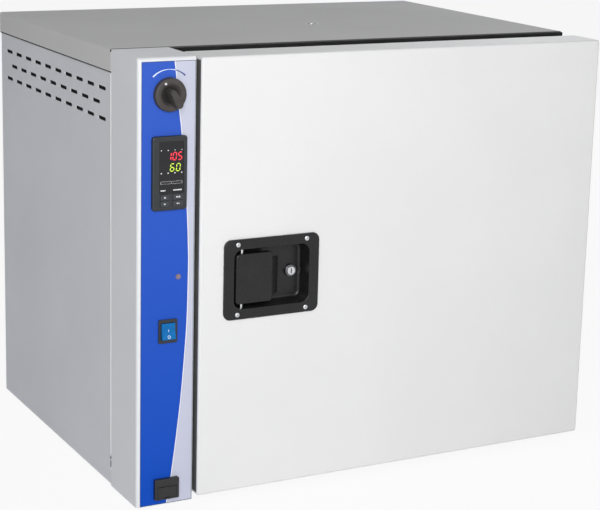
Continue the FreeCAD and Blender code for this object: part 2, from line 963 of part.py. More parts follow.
def probe_place():
    """Where the probe comes through the rear wall."""
    return (chamber_left + dim.probe_across, chamber_ceiling - dim.probe_drop)


def build_insulation_sleeve():
    """The mineral wool wrapped round the chamber's four sides."""
    wall = dim.sheet
    rear = chamber_rear + wall
    outer = block((partition_right, chamber_front, base_top), (inner_right, rear, insulation_top))
    core = block((chamber_left - wall, chamber_front, chamber_floor - wall),
                 (chamber_right + wall, rear, chamber_ceiling + wall))
    reach = chamber_left - partition_right
    holes = [rod((partition_right, fan_y, fan_z), "x", dim.shaft_hole_radius, reach)]
    for along, up in heater_leg_places():
        radius = dim.heater_rod_radius + dim.hole_clearance
        holes.append(rod((partition_right, along, up), "x", radius, reach))
    holes.append(block(*duct_leg(dim.cutout_gap)))
    vent = rod((vent_x, vent_y, chamber_ceiling), "z", shell_hole, top - chamber_ceiling)
    keep(cut(outer, core, *holes, vent), "insulation_sleeve")


def build_insulation_rear():
    """The mineral wool slab behind the chamber."""
    rear = chamber_rear + dim.sheet
    slab = block((partition_right, rear, base_top), (inner_right, insulation_rear, insulation_top))
    across, up = probe_place()
    well = rod((across, rear, up), "y", dim.gland_radius + dim.hole_clearance,
               dim.gland_length + dim.hole_clearance)
    keep(cut(slab, well), "insulation_rear")


def build_partition_panel():
    """The sheet between the insulation and the electrical space."""
    body = new_body("PartitionPanel")
    pad(body, "YZ", partition_left, partition_right,
        rectangle((bulkhead_back, base_top), (inner_back, insulation_top)))
    shaft = circle((fan_y, fan_z), dim.shaft_hole_radius)
    legs = [circle(spot, dim.heater_rod_radius + dim.hole_clearance)
            for spot in heater_leg_places()]
    pocket(body, "YZ", partition_left, partition_right,
           both(shaft, duct_mouth(-dim.cutout_gap), *legs))
    keep(body, "partition_panel")


def build_vent_tube():
    """The tube from the chamber's ceiling to the hole in the lid."""
    outer_radius = dim.vent_bore_radius + dim.vent_wall
    outer = rod((vent_x, vent_y, chamber_ceiling), "z", outer_radius, top - chamber_ceiling)
    bore = rod((vent_x, vent_y, chamber_ceiling), "z", dim.vent_bore_radius, top - chamber_ceiling)
    keep(cut(outer, bore), "vent_tube")


def build_chamber_probe():
    """The temperature probe with its gland behind the rear wall."""
    across, up = probe_place()
    rear = chamber_rear + dim.sheet
    stem = rod((across, chamber_rear - dim.probe_length, up), "y", dim.probe_radius,
               dim.probe_length + dim.sheet)
    gland = rod((across, rear, up), "y", dim.gland_radius, dim.gland_length)
    keep(join(stem, gland), "chamber_probe")


def rack_runners(start_x, end_x):
    """The shelf runners of one rack, one at each level."""
    y_low = chamber_front + dim.rack_margin
    y_high = chamber_rear - dim.rack_margin
    runners = []
    for level in range(whole(dim.rack_levels)):
        height = runner_height(level)
        low = (start_x, y_low, height - dim.rack_sheet)
        runners.append(block(low, (end_x, y_high, height)))
    return runners


def runner_height(level):
    """The height of the top face of a runner."""
    first = chamber_floor + dim.rack_first
    return first + (chamber_ceiling - dim.rack_last - first) / (dim.rack_levels - 1) * level


def build_shelf_racks():
    """Two side racks: a sheet with a runner welded on at each level."""
    y_low = chamber_front + dim.rack_margin
    y_high = chamber_rear - dim.rack_margin
    z_low = chamber_floor + dim.rack_margin
    z_high = chamber_ceiling - dim.rack_margin
    start = rack_left_face - dim.rack_sheet
    panel = block((start, y_low, z_low), (rack_left_face, y_high, z_high))
    intake = rod((start, fan_y, fan_z), "x", dim.baffle_intake_radius, dim.rack_sheet)
    sheet_left = cut(panel, intake, *outlet_blocks(start, rack_left_face))
    runners = rack_runners(rack_left_face, rack_left_face + dim.rack_reach)
    keep(group(sheet_left, *runners), "shelf_rack_left")
    panel = block((rack_right_face, y_low, z_low), (chamber_right, y_high, z_high))
    runners = rack_runners(rack_right_face - dim.rack_reach, rack_right_face)
    keep(group(panel, *runners), "shelf_rack_right")


rack_left_face = chamber_left + dim.baffle_depth + dim.rack_sheet
rack_right_face = chamber_right - dim.rack_sheet


def build_shelf(label, level):
    """A wire shelf: four rods and a row of wires welded on the front and rear rods."""
    radius = dim.shelf_rod_radius
    x_low = rack_left_face + dim.shelf_side_gap + radius
    x_high = rack_right_face - dim.shelf_side_gap - radius
    y_low = chamber_front + dim.shelf_setback + radius
    y_high = chamber_rear - dim.shelf_rear_gap - radius
    z_mid = runner_height(level) + dim.contact_gap + radius
    rods = [
        rod((x_low - radius, y_low, z_mid), "x", radius, x_high - x_low + radius * 2),
        rod((x_low - radius, y_high, z_mid), "x", radius, x_high - x_low + radius * 2),
        rod((x_low, y_low, z_mid), "y", radius, y_high - y_low),
        rod((x_high, y_low, z_mid), "y", radius, y_high - y_low),
    ]
    count = whole(dim.shelf_wire_count)
    pitch = (x_high - x_low) / (dim.shelf_wire_count + 1)
    wire_z = z_mid + radius
    for number in range(1, count + 1):
        start = (x_low + pitch * number, y_low - radius, wire_z)
        rods.append(rod(start, "y", dim.shelf_wire_radius, y_high - y_low + radius * 2))
    keep(join(*rods), label)


# Fan, baffle and heater

def heater_leg_places():
    """Where the two legs of the ring heater go through the wall."""
    up = fan_z - dim.heater_ring_radius
    return ((fan_y - dim.heater_leg_spread, up), (fan_y + dim.heater_leg_spread, up))


def build_fan_motor():
    """The fan motor on its square flange, bored for the shaft."""
    face = partition_left - dim.motor_flange_thickness
    half = dim.motor_flange / 2
    flange = block((face, fan_y - half, fan_z - half), (partition_left, fan_y + half, fan_z + half))
    can = rod((face - dim.motor_length, fan_y, fan_z), "x", dim.motor_radius, dim.motor_length)
    bore_radius = dim.shaft_radius + dim.running_gap
    bore = rod((partition_left - dim.motor_bore_depth, fan_y, fan_z), "x", bore_radius,
               dim.motor_bore_depth)
    keep(cut(join(flange, can), bore), "fan_motor")


def build_fan_impeller():
    """The radial impeller with its shaft, made round its own axis and then put in place."""
    body = new_body("FanImpeller")
    origin = (as_size(0), as_size(0))
    tail = chamber_left - partition_left + dim.impeller_wall_gap + dim.motor_bore_depth
    pad(body, "YZ", -tail + dim.contact_gap, dim.impeller_width, circle(origin, dim.shaft_radius))
    pad(body, "YZ", as_size(0), dim.impeller_width, circle(origin, dim.impeller_hub_radius))
    pad(body, "YZ", as_size(0), dim.impeller_disc, circle(origin, dim.impeller_radius))
    half = dim.impeller_blade / 2
    outline = rectangle((-half, dim.impeller_blade_inner), (half, dim.impeller_radius - half))
    blade = pad(body, "YZ", as_size(0), dim.impeller_width, outline)
    pattern = body.newObject("PartDesign::PolarPattern", "Blades")
    pattern.Originals = [blade]
    pattern.Axis = (origin_feature(body, "X_Axis"), [""])
    pattern.Angle = 360
    bind(pattern, "Occurrences", dim.impeller_blades)
    body.Tip = pattern
    place(body, (chamber_left + dim.impeller_wall_gap, fan_y, fan_z))
    keep(body, "fan_impeller")


def outlet_blocks(start_x, end_x):
    """The row of air outlets in front of the fan space and behind it."""
    blocks = []
    count = whole(dim.baffle_outlets)
    y_edges = (chamber_front + dim.baffle_outlet_inset,
               chamber_rear - dim.baffle_outlet_inset - dim.baffle_outlet_width)
    first = chamber_floor + dim.baffle_outlet_end
    span = chamber_ceiling - dim.baffle_outlet_end - first
    pitch = span / (dim.baffle_outlets - 1)
    for y_edge in y_edges:
        for number in range(count):
            centre = first + pitch * number
            low = (start_x, y_edge, centre - dim.baffle_outlet_height / 2)
            high = (end_x, y_edge + dim.baffle_outlet_width, centre + dim.baffle_outlet_height / 2)
            blocks.append(block(low, high))
    return blocks


def build_fan_baffle():
    """The baffle in front of the impeller: a shallow tray on the chamber's left wall."""
    margin = dim.baffle_margin
    low = (chamber_left, chamber_front + margin, chamber_floor + margin)
    high = (chamber_left + dim.baffle_depth, chamber_rear - margin, chamber_ceiling - margin)
    outer = block(low, high)
    wall = dim.sheet
    inner = block((low[0], low[1] + wall, low[2] + wall),
                  (high[0] - wall, high[1] - wall, high[2] - wall))
    intake = rod((high[0] - wall, fan_y, fan_z), "x", dim.baffle_intake_radius, wall)
    keep(cut(outer, inner, intake, *outlet_blocks(high[0] - wall, high[0])), "fan_baffle")


def build_ring_heater():
    """The tubular heater: a ring round the impeller with two legs through the wall."""
    ring = doc.addObject("Part::Torus", "Ring")
    bind(ring, "Radius1", dim.heater_ring_radius)
    bind(ring, "Radius2", dim.heater_rod_radius)
    ring.Placement = Placement(Vector(), TURN_FROM_UP["x"])
    ring_x = chamber_left + dim.baffle_depth / 2
    place(ring, (ring_x, fan_y, fan_z))
    legs = []
    lift = dim.heater_leg_spread * dim.heater_leg_spread / dim.heater_ring_radius / 2
    for along, up in heater_leg_places():
        start = partition_left - dim.heater_rod_radius * 3
        legs.append(rod((start, along, up), "x", dim.heater_rod_radius, ring_x - start))
        legs.append(rod((ring_x, along, up), "z", dim.heater_rod_radius, lift * 2))
    keep(join(ring, *legs), "ring_heater")


# Air control

def duct_mouth(inset):
    """The outline of the duct where it goes through a wall, on the YZ plane."""
    half = dim.duct_width / 2 - inset
    centre_z = knob_z - dim.duct_drop + dim.duct_width / 2
    return rectangle((duct_y - half, centre_z - half), (duct_y + half, centre_z + half))


def duct_leg(outset):
    """The two corners of the duct's level leg, grown by an amount."""
    half = dim.duct_width / 2
    low_z = knob_z - dim.duct_drop
    return ((knob_x - half - outset, duct_y - half - outset, low_z - outset),
            (chamber_left - dim.sheet, duct_y + half + outset, low_z + dim.duct_width + outset))


def build_air_duct():
    """The square duct that brings air down from beside the slots into the chamber."""
    wall = dim.duct_wall
    half = dim.duct_width / 2
    low_z = knob_z - dim.duct_drop
    upright = block((knob_x - half, duct_y - half, low_z),
                    (knob_x + half, duct_y + half, knob_z + dim.duct_rise))
    level = block(*duct_leg(as_size(0)))
    upright_inside = block((knob_x - half + wall, duct_y - half + wall, low_z + wall),
                           (knob_x + half - wall, duct_y + half - wall, knob_z + dim.duct_rise))
    level_inside = block((knob_x - half + wall, duct_y - half + wall, low_z + wall),
                         (chamber_left - dim.sheet, duct_y + half - wall,
                          low_z + dim.duct_width - wall))
    bearing = rod((knob_x, duct_y - half, knob_z), "y", dim.air_shaft_radius + dim.running_gap,
                  dim.duct_width)
    keep(cut(join(upright, level), upright_inside, level_inside, bearing), "air_duct")


def build_air_flap():
    """The knob's shaft with the flap plate that shuts the duct."""
    body = new_body("AirFlap")
    origin = (as_size(0), as_size(0))
    ahead = dim.overlay_thickness + dim.knob_seat + dim.knob_skirt
    behind = duct_y - front + dim.duct_width / 2 + dim.air_shaft_tail
    pad(body, "XZ", -ahead, behind, circle(origin, dim.air_shaft_radius))
    half = dim.duct_width / 2 - dim.duct_wall - dim.flap_play
    plate = rectangle((-half, -dim.flap_plate / 2), (half, dim.flap_plate / 2))
    centre = duct_y - front
    pad(body, "XZ", centre - half, centre + half, plate)
    body.Placement = Placement(Vector(), Rotation(Vector(0, 1, 0), dim.flap_rest_angle.number))
    bind(body, "Placement.Rotation.Angle", dim.flap_rest_angle)
    place(body, (knob_x, front, knob_z))
    keep(body, "air_flap")


def build_knob_bushing():
    """The threaded bushing and nut that carry the shaft in the control box."""
    gap = dim.contact_gap
    sleeve = rod((knob_x, front - gap, knob_z), "y", dim.bushing_radius, dim.bushing_length)
    nut = rod((knob_x, front + dim.control_wall, knob_z), "y", dim.bushing_nut_radius,
              dim.bushing_nut_length)
    bore = rod((knob_x, front - gap, knob_z), "y", dim.air_shaft_radius + dim.running_gap,
               dim.bushing_length)
    keep(cut(join(sleeve, nut), bore), "knob_bushing")


def build_air_knob():
    """The knob: a round skirt with a raised bar that points to the setting."""
    body = new_body("AirKnob")
    origin = (as_size(0), as_size(0))
    skirt_back = -dim.overlay_thickness - dim.knob_seat
    skirt_front = skirt_back - dim.knob_skirt
    grip_front = skirt_front - dim.knob_grip_height
    pad(body, "XZ", skirt_front, skirt_back, circle(origin, dim.knob_radius))
    fillet(body, dim.knob_round, lambda edge: edge_at(edge, "y", skirt_front))
    half_wide = dim.knob_grip_width / 2
    half_long = dim.knob_grip_length / 2
    bar = rounded((-half_wide, -half_long), (half_wide, half_long), half_wide * 0.98)
    pad(body, "XZ", grip_front, skirt_front, bar)
    fillet(body, dim.knob_round, lambda edge: edge_at(edge, "y", grip_front))
    pocket(body, "XZ", skirt_front, skirt_back, circle(origin, dim.air_shaft_radius))
    body.Placement = Placement(Vector(), Rotation(Vector(0, 1, 0), dim.knob_angle.number))
    bind(body, "Placement.Rotation.Angle", dim.knob_angle)
    place(body, (knob_x, front, knob_z))
    keep(body, "air_knob")


# Control box and its panel

bezel_low = (knob_x - dim.bezel_width / 2, top - dim.bezel_drop - dim.bezel_height)
bezel_high = (knob_x + dim.bezel_width / 2, top - dim.bezel_drop)
case_low = (bezel_low[0] + dim.case_inset, bezel_low[1] + dim.case_inset)
case_high = (bezel_high[0] - dim.case_inset, bezel_high[1] - dim.case_inset)
switch_z = bottom + dim.switch_height
switch_low = (knob_x - dim.switch_width / 2, switch_z - dim.switch_length / 2)
switch_high = (knob_x + dim.switch_width / 2, switch_z + dim.switch_length / 2)
port_low = (left + dim.port_left, bottom + dim.port_lift)
port_high = (port_low[0] + dim.port_width, port_low[1] + dim.port_height)
lamp_spot = (left + dim.lamp_across, bottom + dim.lamp_height)


def shrunk(low, high, amount):
    """A rectangle's corners moved inwards by an amount."""
    return ((low[0] + amount, low[1] + amount), (high[0] - amount, high[1] - amount))


def panel_cutouts():
    """The openings for everything that is let into the control panel."""
    gap = dim.cutout_gap
    return both(
        circle((knob_x, knob_z), dim.bushing_radius + gap),
        rectangle(*shrunk(case_low, case_high, -gap)),
        circle(lamp_spot, dim.lamp_radius + gap),
        rectangle(*shrunk(switch_low, switch_high, dim.switch_body_inset - gap)),
        rectangle(*shrunk(port_low, port_high, dim.port_body_inset - gap)),
    )


def build_control_box():
    """The control box: a folded column open at the back, rounded at its left and top."""
    body = new_body("ControlBox")
    pad(body, "XY", bottom, top, rectangle((left, front), (control_right, body_front)))
    fillet(body, dim.control_bend,
           lambda edge: edge_at(edge, "y", front) and
           (edge_at(edge, "x", left) or edge_at(edge, "z", top)))
    hollow(body, dim.control_wall, "y", body_front)
    pocket(body, "XZ", front, front + dim.control_wall, panel_cutouts())
    wall = control_right - dim.control_wall
    pocket(body, "YZ", wall, control_right, strike_slot())
    keep(body, "control_box")


def strike_slot():
    """The slot that takes the latch bolt, on the YZ plane."""
    play = dim.strike_play
    return rectangle((bolt_front - play, bolt_low - play), (bolt_back + play, bolt_high + play))


def build_strike_plate():
    """The plate round the bolt's slot, on the outside of the control box."""
    body = new_body("StrikePlate")
    middle = (bolt_front + bolt_back) / 2
    low = (middle - dim.strike_width / 2, handle_z - dim.strike_height / 2)
    high = (middle + dim.strike_width / 2, handle_z + dim.strike_height / 2)
    pad(body, "YZ", control_right, control_right + dim.strike_thickness,
        rounded(low, high, dim.strike_play * 4))
    pocket(body, "YZ", control_right, control_right + dim.strike_thickness, strike_slot())
    keep(body, "strike_plate")


def build_panel_overlay():
    """The printed film on the front of the control box."""
    body = new_body("PanelOverlay")
    low = (left + dim.overlay_left_inset, bottom + dim.overlay_bottom_inset)
    high = (control_right - dim.overlay_right_inset, top - dim.overlay_top_inset)
    pad(body, "XZ", overlay_front, front, rectangle(low, high))
    pocket(body, "XZ", overlay_front, front, panel_cutouts())
    keep(body, "panel_overlay")


key_places = {
    "key_up": (dim.left_key_offset, dim.left_key_width, 1),
    "key_down": (dim.left_key_offset, dim.left_key_width, 0),
    "key_set": (dim.right_key_offset, dim.right_key_width, 1),
    "key_enter": (dim.right_key_offset, dim.right_key_width, 0),
}
bezel_face = overlay_front - dim.bezel_depth


def key_corners(name):
    """The corners of one key on the bezel."""
    offset, width, row = key_places[name]
    low_x = bezel_low[0] + offset
    low_z = bezel_low[1] + dim.key_bottom + (dim.key_height + dim.key_gap) * row
    return (low_x, low_z), (low_x + width, low_z + dim.key_height)


def window_corners():
    """The corners of the display window on the bezel."""
    low_x = bezel_low[0] + dim.window_left
    high_z = bezel_high[1] - dim.window_drop
    return (low_x, high_z - dim.window_height), (low_x + dim.window_width, high_z)


def build_controller_case():
    """The controller: bezel and case, with the window's seat and four key wells."""
    body = new_body("ControllerCase")
    pad(body, "XZ", bezel_face, overlay_front, rounded(bezel_low, bezel_high, dim.bezel_corner))
    fillet(body, dim.bezel_edge, lambda edge: edge_at(edge, "y", bezel_face))
    pad(body, "XZ", overlay_front, overlay_front + dim.case_length, rectangle(case_low, case_high))
    window = shrunk(*window_corners(), -dim.running_gap)
    seat = bezel_face + dim.window_recess + dim.window_thickness
    pocket(body, "XZ", bezel_face, seat, rectangle(*window))
    wells = [rectangle(*shrunk(*key_corners(name), -dim.key_play)) for name in key_places]
    well_floor = bezel_face + dim.key_depth + dim.contact_gap
    pocket(body, "XZ", bezel_face, well_floor, both(*wells))
    keep(body, "controller_case")


def build_controller_window():
    """The dark clear window over the display."""
    body = new_body("ControllerWindow")
    start = bezel_face + dim.window_recess
    pad(body, "XZ", start, start + dim.window_thickness, rectangle(*window_corners()))
    keep(body, "controller_window")


def build_key(name):
    """One moulded key of the controller."""
    body = new_body(name)
    start = bezel_face - dim.key_proud
    pad(body, "XZ", start, start + dim.key_depth, rectangle(*key_corners(name)))
    fillet(body, dim.key_round, lambda edge: edge_at(edge, "y", start))
    keep(body, name)


def build_alarm_lamp():
    """The signal lamp: a domed lens in a narrow ring."""
    across, up = lamp_spot
    body_rod = rod((across, overlay_front - dim.lamp_proud, up), "y", dim.lamp_radius,
                   dim.lamp_proud + dim.lamp_body)
    ring = rod((across, overlay_front - dim.lamp_ring_proud, up), "y", dim.lamp_ring_radius,
               dim.lamp_ring_proud)
    keep(join(body_rod, ring), "alarm_lamp")


def build_switch_housing():
    """The switch's bezel and body with the rocker's well."""
    body = new_body("SwitchHousing")
    face = overlay_front - dim.switch_proud
    pad(body, "XZ", face, overlay_front, rounded(switch_low, switch_high, dim.switch_corner))
    pad(body, "XZ", overlay_front, overlay_front + dim.switch_body_depth,
        rectangle(*shrunk(switch_low, switch_high, dim.switch_body_inset)))
    half = (dim.rocker_width / 2 + dim.rocker_gap, dim.rocker_length / 2 + dim.rocker_gap)
    well = rectangle((knob_x - half[0], switch_z - half[1]), (knob_x + half[0], switch_z + half[1]))
    pocket(body, "XZ", face, face + dim.rocker_well, well)
    keep(body, "switch_housing")


def build_switch_rocker():
    """The rocker with its shallow dip, made round its pivot and tipped to the on side."""
    body = new_body("SwitchRocker")
    half = dim.rocker_length / 2
    profile = polygon((-dim.rocker_proud, -half), (-dim.rocker_proud + dim.rocker_dip, as_size(0)),
                      (-dim.rocker_proud, half), (dim.rocker_depth - dim.rocker_dip, half),
                      (dim.rocker_depth, as_size(0)), (dim.rocker_depth - dim.rocker_dip, -half))
    pad(body, "YZ", -dim.rocker_width / 2, dim.rocker_width / 2, profile)
    body.Placement = Placement(Vector(), Rotation(Vector(1, 0, 0), -dim.rocker_tilt.number))
    bind(body, "Placement.Rotation.Angle", -dim.rocker_tilt)
    place(body, (knob_x, overlay_front - dim.switch_proud, switch_z))
    keep(body, "switch_rocker")


port_face = overlay_front - dim.port_proud
flap_low = (port_low[0] + (dim.port_width - dim.port_cavity_width) / 2,
            port_low[1] + dim.port_cavity_lift)
flap_high = (flap_low[0] + dim.port_cavity_width, flap_low[1] + dim.port_cavity_height)
flap_pivot_y = port_face + dim.port_flap_thickness / 2
flap_pivot_z = flap_high[1] - dim.port_flap_gap - dim.port_flap_thickness / 2


def build_port_housing():
    """The service port's block: a groove over the flap, a cavity and the hinge's holes."""
    body = new_body("PortHousing")
    pad(body, "XZ", port_face, overlay_front, rounded(port_low, port_high, dim.port_corner))
    fillet(body, dim.port_edge, lambda edge: edge_at(edge, "y", port_face))
    pad(body, "XZ", overlay_front, overlay_front + dim.port_body_depth,
        rectangle(*shrunk(port_low, port_high, dim.port_body_inset)))
    pocket(body, "XZ", port_face, port_face + dim.port_cavity_depth,
           rectangle(flap_low, flap_high))
    groove = rectangle(flap_low, (flap_high[0], flap_high[1] + dim.port_groove_height))
    pocket(body, "XZ", port_face, port_face + dim.port_groove_depth, groove)
    reach = dim.port_pin_reach + dim.contact_gap
    pocket(body, "YZ", flap_low[0] - reach, flap_high[0] + reach,
           circle((flap_pivot_y, flap_pivot_z), dim.port_pin_radius + dim.running_gap))
    keep(body, "port_housing")


def build_port_flap():
    """The flap over the lower half of the port: hinge barrel, plate and finger notch."""
    body = new_body("PortFlap")
    low, high = shrunk(flap_low, flap_high, dim.port_flap_gap)
    back_face = port_face + dim.port_flap_thickness
    pad(body, "XZ", port_face, back_face, rectangle(low, (high[0], flap_pivot_z)))
    pivot = (flap_pivot_y, flap_pivot_z)
    pad(body, "YZ", low[0], high[0], circle(pivot, dim.port_flap_thickness / 2))
    pad(body, "YZ", flap_low[0] - dim.port_pin_reach, flap_high[0] + dim.port_pin_reach,
        circle(pivot, dim.port_pin_radius))
    middle = (low[0] + high[0]) / 2
    half = dim.port_notch_width / 2
    notch = polygon((middle - half, low[1]), (middle + half, low[1]),
                    (middle, low[1] + dim.port_notch_height))
    pocket(body, "XZ", port_face, port_face + dim.port_notch_depth, notch)
    keep(body, "port_flap")


def build_service_socket():
    """The socket at the bottom of the port's cavity."""
    middle = ((flap_low[0] + flap_high[0]) / 2, (flap_low[1] + flap_high[1]) / 2)
    half = (dim.socket_width / 2, dim.socket_height / 2)
    floor = port_face + dim.port_cavity_depth
    low = (middle[0] - half[0], floor - dim.socket_depth, middle[1] - half[1])
    high = (middle[0] + half[0], floor, middle[1] + half[1])
    wall = dim.socket_wall
    outer = block(low, high)
    inner = block((low[0] + wall, low[1], low[2] + wall),
                  (high[0] - wall, floor - wall, high[2] - wall))
    keep(cut(outer, inner), "service_socket")


# Door

def build_door_skin():
    """The door's outer skin: a deep tray open at the back."""
    body = tray("DoorSkin", (door_left, door_front, door_bottom), (door_right, door_back, door_top),
                "+y", dim.sheet, dim.door_bend)
    gap = dim.cutout_gap + dim.dish_wall
    opening = rounded((dish_left - gap, dish_low - gap), (dish_right + gap, dish_high + gap),
                      dim.dish_corner)
    holes = [circle(spot, dim.screw_shank_radius + dim.hole_clearance)
             for spot in handle_screw_places()]
    pocket(body, "XZ", door_front, door_front + dim.sheet, both(opening, *holes))
    pocket(body, "YZ", door_left, door_left + dim.sheet, bolt_hole())
    keep(body, "door_skin")


def bolt_hole():
    """The hole that guides the bolt through the door's edge, on the YZ plane."""
    play = dim.bolt_play
    return rectangle((bolt_front - play, bolt_low - play), (bolt_back + play, bolt_high + play))


def build_door_liner():
    """The door's inner sheet with its raised plug, hollow towards the insulation."""
    body = new_body("DoorLiner")
    wall = dim.sheet
    inset = wall + dim.panel_gap
    low, high = shrunk((door_left, door_bottom), (door_right, door_top), inset)
    pad(body, "XZ", door_back - wall, door_back, rounded(low, high, dim.door_bend - inset))
    low, high = shrunk((chamber_left, chamber_floor), (chamber_right, chamber_ceiling),
                       dim.liner_plug_inset)
    plug_back = door_back + dim.liner_plug_depth
    pad(body, "XZ", door_back, plug_back, rounded(low, high, dim.liner_plug_round))
    low, high = shrunk(low, high, wall)
    pocket(body, "XZ", door_back - wall, plug_back - wall,
           rounded(low, high, dim.liner_plug_round - wall))
    keep(body, "door_liner")


def build_door_insulation():
    """The slab inside the door, with room for the handle and the bolt."""
    inset = dim.door_bend
    front_face = door_front + dim.sheet
    back_face = door_back - dim.sheet
    slab = block((door_left + inset, front_face, door_bottom + inset),
                 (door_right - inset, back_face, door_top - inset))
    room = dim.door_gap
    depth_end = dish_floor + dim.lock_barrel_length + dim.cam_thickness + dim.cam_gap * 3
    pit = block((dish_left - room, front_face, dish_low - room),
                (dish_right + room, depth_end, dish_high + room))
    lane = block((door_left + inset, front_face, bolt_low - room),
                 (dish_left, bolt_back + room, bolt_high + room))
    screws = [rod((across, front_face, up), "y", dim.screw_shank_radius * 2,
                  dim.screw_shank_length * 2) for across, up in handle_screw_places()]
    keep(cut(slab, pit, lane, *screws), "door_insulation")


def build_door_gasket():
    """The silicone gasket round the plug."""
    body = new_body("DoorGasket")
    inner = shrunk((chamber_left, chamber_floor), (chamber_right, chamber_ceiling),
                   -dim.gasket_offset)
    outer = shrunk(*inner, -dim.gasket_width)
    end = frame_front - dim.gasket_clearance
    pad(body, "XZ", door_back, end,
        both(rounded(*outer, dim.gasket_round), rounded(*inner, dim.gasket_round / 2)))
    keep(body, "door_gasket")


# Handle, latch and lock

def handle_screw_places():
    """The four screws of the handle's plate."""
    across = dim.screw_spread_across / 2
    up = dim.screw_spread_up / 2
    return [(handle_x + across * side, handle_z + up * level)
            for side in (-1, 1) for level in (-1, 1)]


def build_handle_screws():
    """Four round-headed screws."""
    screws = []
    for across, up in handle_screw_places():
        head = rod((across, plate_front - dim.screw_head_height, up), "y", dim.screw_head_radius,
                   dim.screw_head_height)
        shank = rod((across, plate_front, up), "y", dim.screw_shank_radius, dim.screw_shank_length)
        screws.append(join(head, shank))
    keep(group(*screws), "handle_screws")


def build_handle_dish():
    """The handle's pressed dish with its flange, the bolt's bridge and its holes."""
    body = new_body("HandleDish")
    half = (dim.handle_width / 2, dim.handle_tall / 2)
    plate = rounded((handle_x - half[0], handle_z - half[1]),
                    (handle_x + half[0], handle_z + half[1]), dim.handle_corner)
    pad(body, "XZ", plate_front, door_front, plate)
    fillet(body, dim.handle_edge, lambda edge: edge_at(edge, "y", plate_front))
    wall = dim.dish_wall
    pan = rounded((dish_left - wall, dish_low - wall), (dish_right + wall, dish_high + wall),
                  dim.dish_corner + wall)
    pad_narrowing(body, door_front, dish_back, pan, dim.dish_draft)
    round_lock = (lock_x, handle_z)
    pad(body, "XZ", dish_back - dim.scallop_height, dish_back,
        circle(round_lock, dim.lock_scallop + wall))
    well = rounded((dish_left, dish_low), (dish_right, dish_high), dim.dish_corner)
    pocket(body, "XZ", plate_front, dish_floor, well, dim.dish_draft)
    pocket(body, "XZ", dish_floor - dim.scallop_height, dish_floor,
           circle(round_lock, dim.lock_scallop))
    fillet(body, dim.dish_floor_round,
           lambda edge: edge_at(edge, "y", dish_floor))
    fillet(body, dim.dish_rim_round, is_rim_edge)
    shank_holes = [circle(spot, dim.screw_shank_radius) for spot in handle_screw_places()]
    pocket(body, "XZ", plate_front, door_front, both(*shank_holes))
    tab = rectangle((pivot_x - dim.tab_thickness, handle_z - dim.tab_width / 2 - dim.key_gap),
                    (pivot_x + dim.tab_thickness + dim.bolt_reach,
                     handle_z + dim.tab_width / 2 + dim.key_gap))
    pocket(body, "XZ", dish_floor, dish_back, both(tab, circle(round_lock, dim.lock_barrel_radius)))
    add_pin_holes(body)
    add_bolt_bridge(body)
    keep(body, "handle_dish")


def is_rim_edge(edge):
    """Whether an edge is the rim of the dish, where it meets the plate's face."""
    box = edge.BoundBox
    inside = box.XMin > dish_left.number - 1 and box.XMax < dish_right.number + 1
    return edge_at(edge, "y", plate_front) and inside


def add_pin_holes(body):
    """The paddle pin's holes through the upper and lower walls of the dish."""
    reach = dim.dish_tall / 2 + dim.dish_wall
    pocket(body, "XY", handle_z - reach, handle_z + reach,
           circle((pivot_x, pivot_y), dim.pivot_radius + dim.running_gap))


def add_bolt_bridge(body):
    """The bridge behind the dish that holds the bolt's tail."""
    play = dim.bolt_play
    wall = dim.bridge_wall
    x_high = pivot_x + dim.tab_thickness + dim.bolt_reach + dim.bridge_width
    x_low = x_high - dim.bridge_width + dim.bolt_play
    outer = rectangle((dish_back, bolt_low - play - wall),
                      (bolt_back + play + wall, bolt_high + play + wall))
    inner = rectangle((dish_back, bolt_low - play), (bolt_back + play, bolt_high + play))
    pad(body, "YZ", x_low, x_high, outer)
    pocket(body, "YZ", x_low, x_high, inner)


def build_lock_body():
    """The lock's collar in the dish and its barrel behind."""
    spot = (lock_x, handle_z)
    body = new_body("LockBody")
    face = dish_floor - dim.lock_collar_height
    pad(body, "XZ", face, dish_floor, circle(spot, dim.lock_collar_radius))
    pad(body, "XZ", dish_floor, dish_floor + dim.lock_barrel_length,
        circle(spot, dim.lock_barrel_radius))
    fillet(body, dim.handle_edge, lambda edge: edge_at(edge, "y", face))
    pocket(body, "XZ", face, dish_floor + dim.lock_barrel_length,
           circle(spot, dim.plug_radius + dim.running_gap))
    keep(body, "lock_body")


def build_lock_plug():
    """The plug with its keyway in front and its cam behind."""
    spot = (lock_x, handle_z)
    body = new_body("LockPlug")
    face = dish_floor - dim.lock_collar_height - dim.plug_proud
    rear = dish_floor + dim.lock_barrel_length + dim.cam_gap
    pad(body, "XZ", face, rear + dim.cam_thickness, circle(spot, dim.plug_radius))
    half = dim.cam_width / 2
    pad(body, "XZ", rear, rear + dim.cam_thickness,
        rounded((lock_x - half, handle_z - dim.cam_length), (lock_x + half, handle_z + half),
                half * 0.96))
    slot = (dim.keyway_width / 2, dim.keyway_length / 2)
    pocket(body, "XZ", face, face + dim.keyway_depth,
           rectangle((lock_x - slot[0], handle_z - slot[1]), (lock_x + slot[0], handle_z + slot[1])))
    keep(body, "lock_plug")


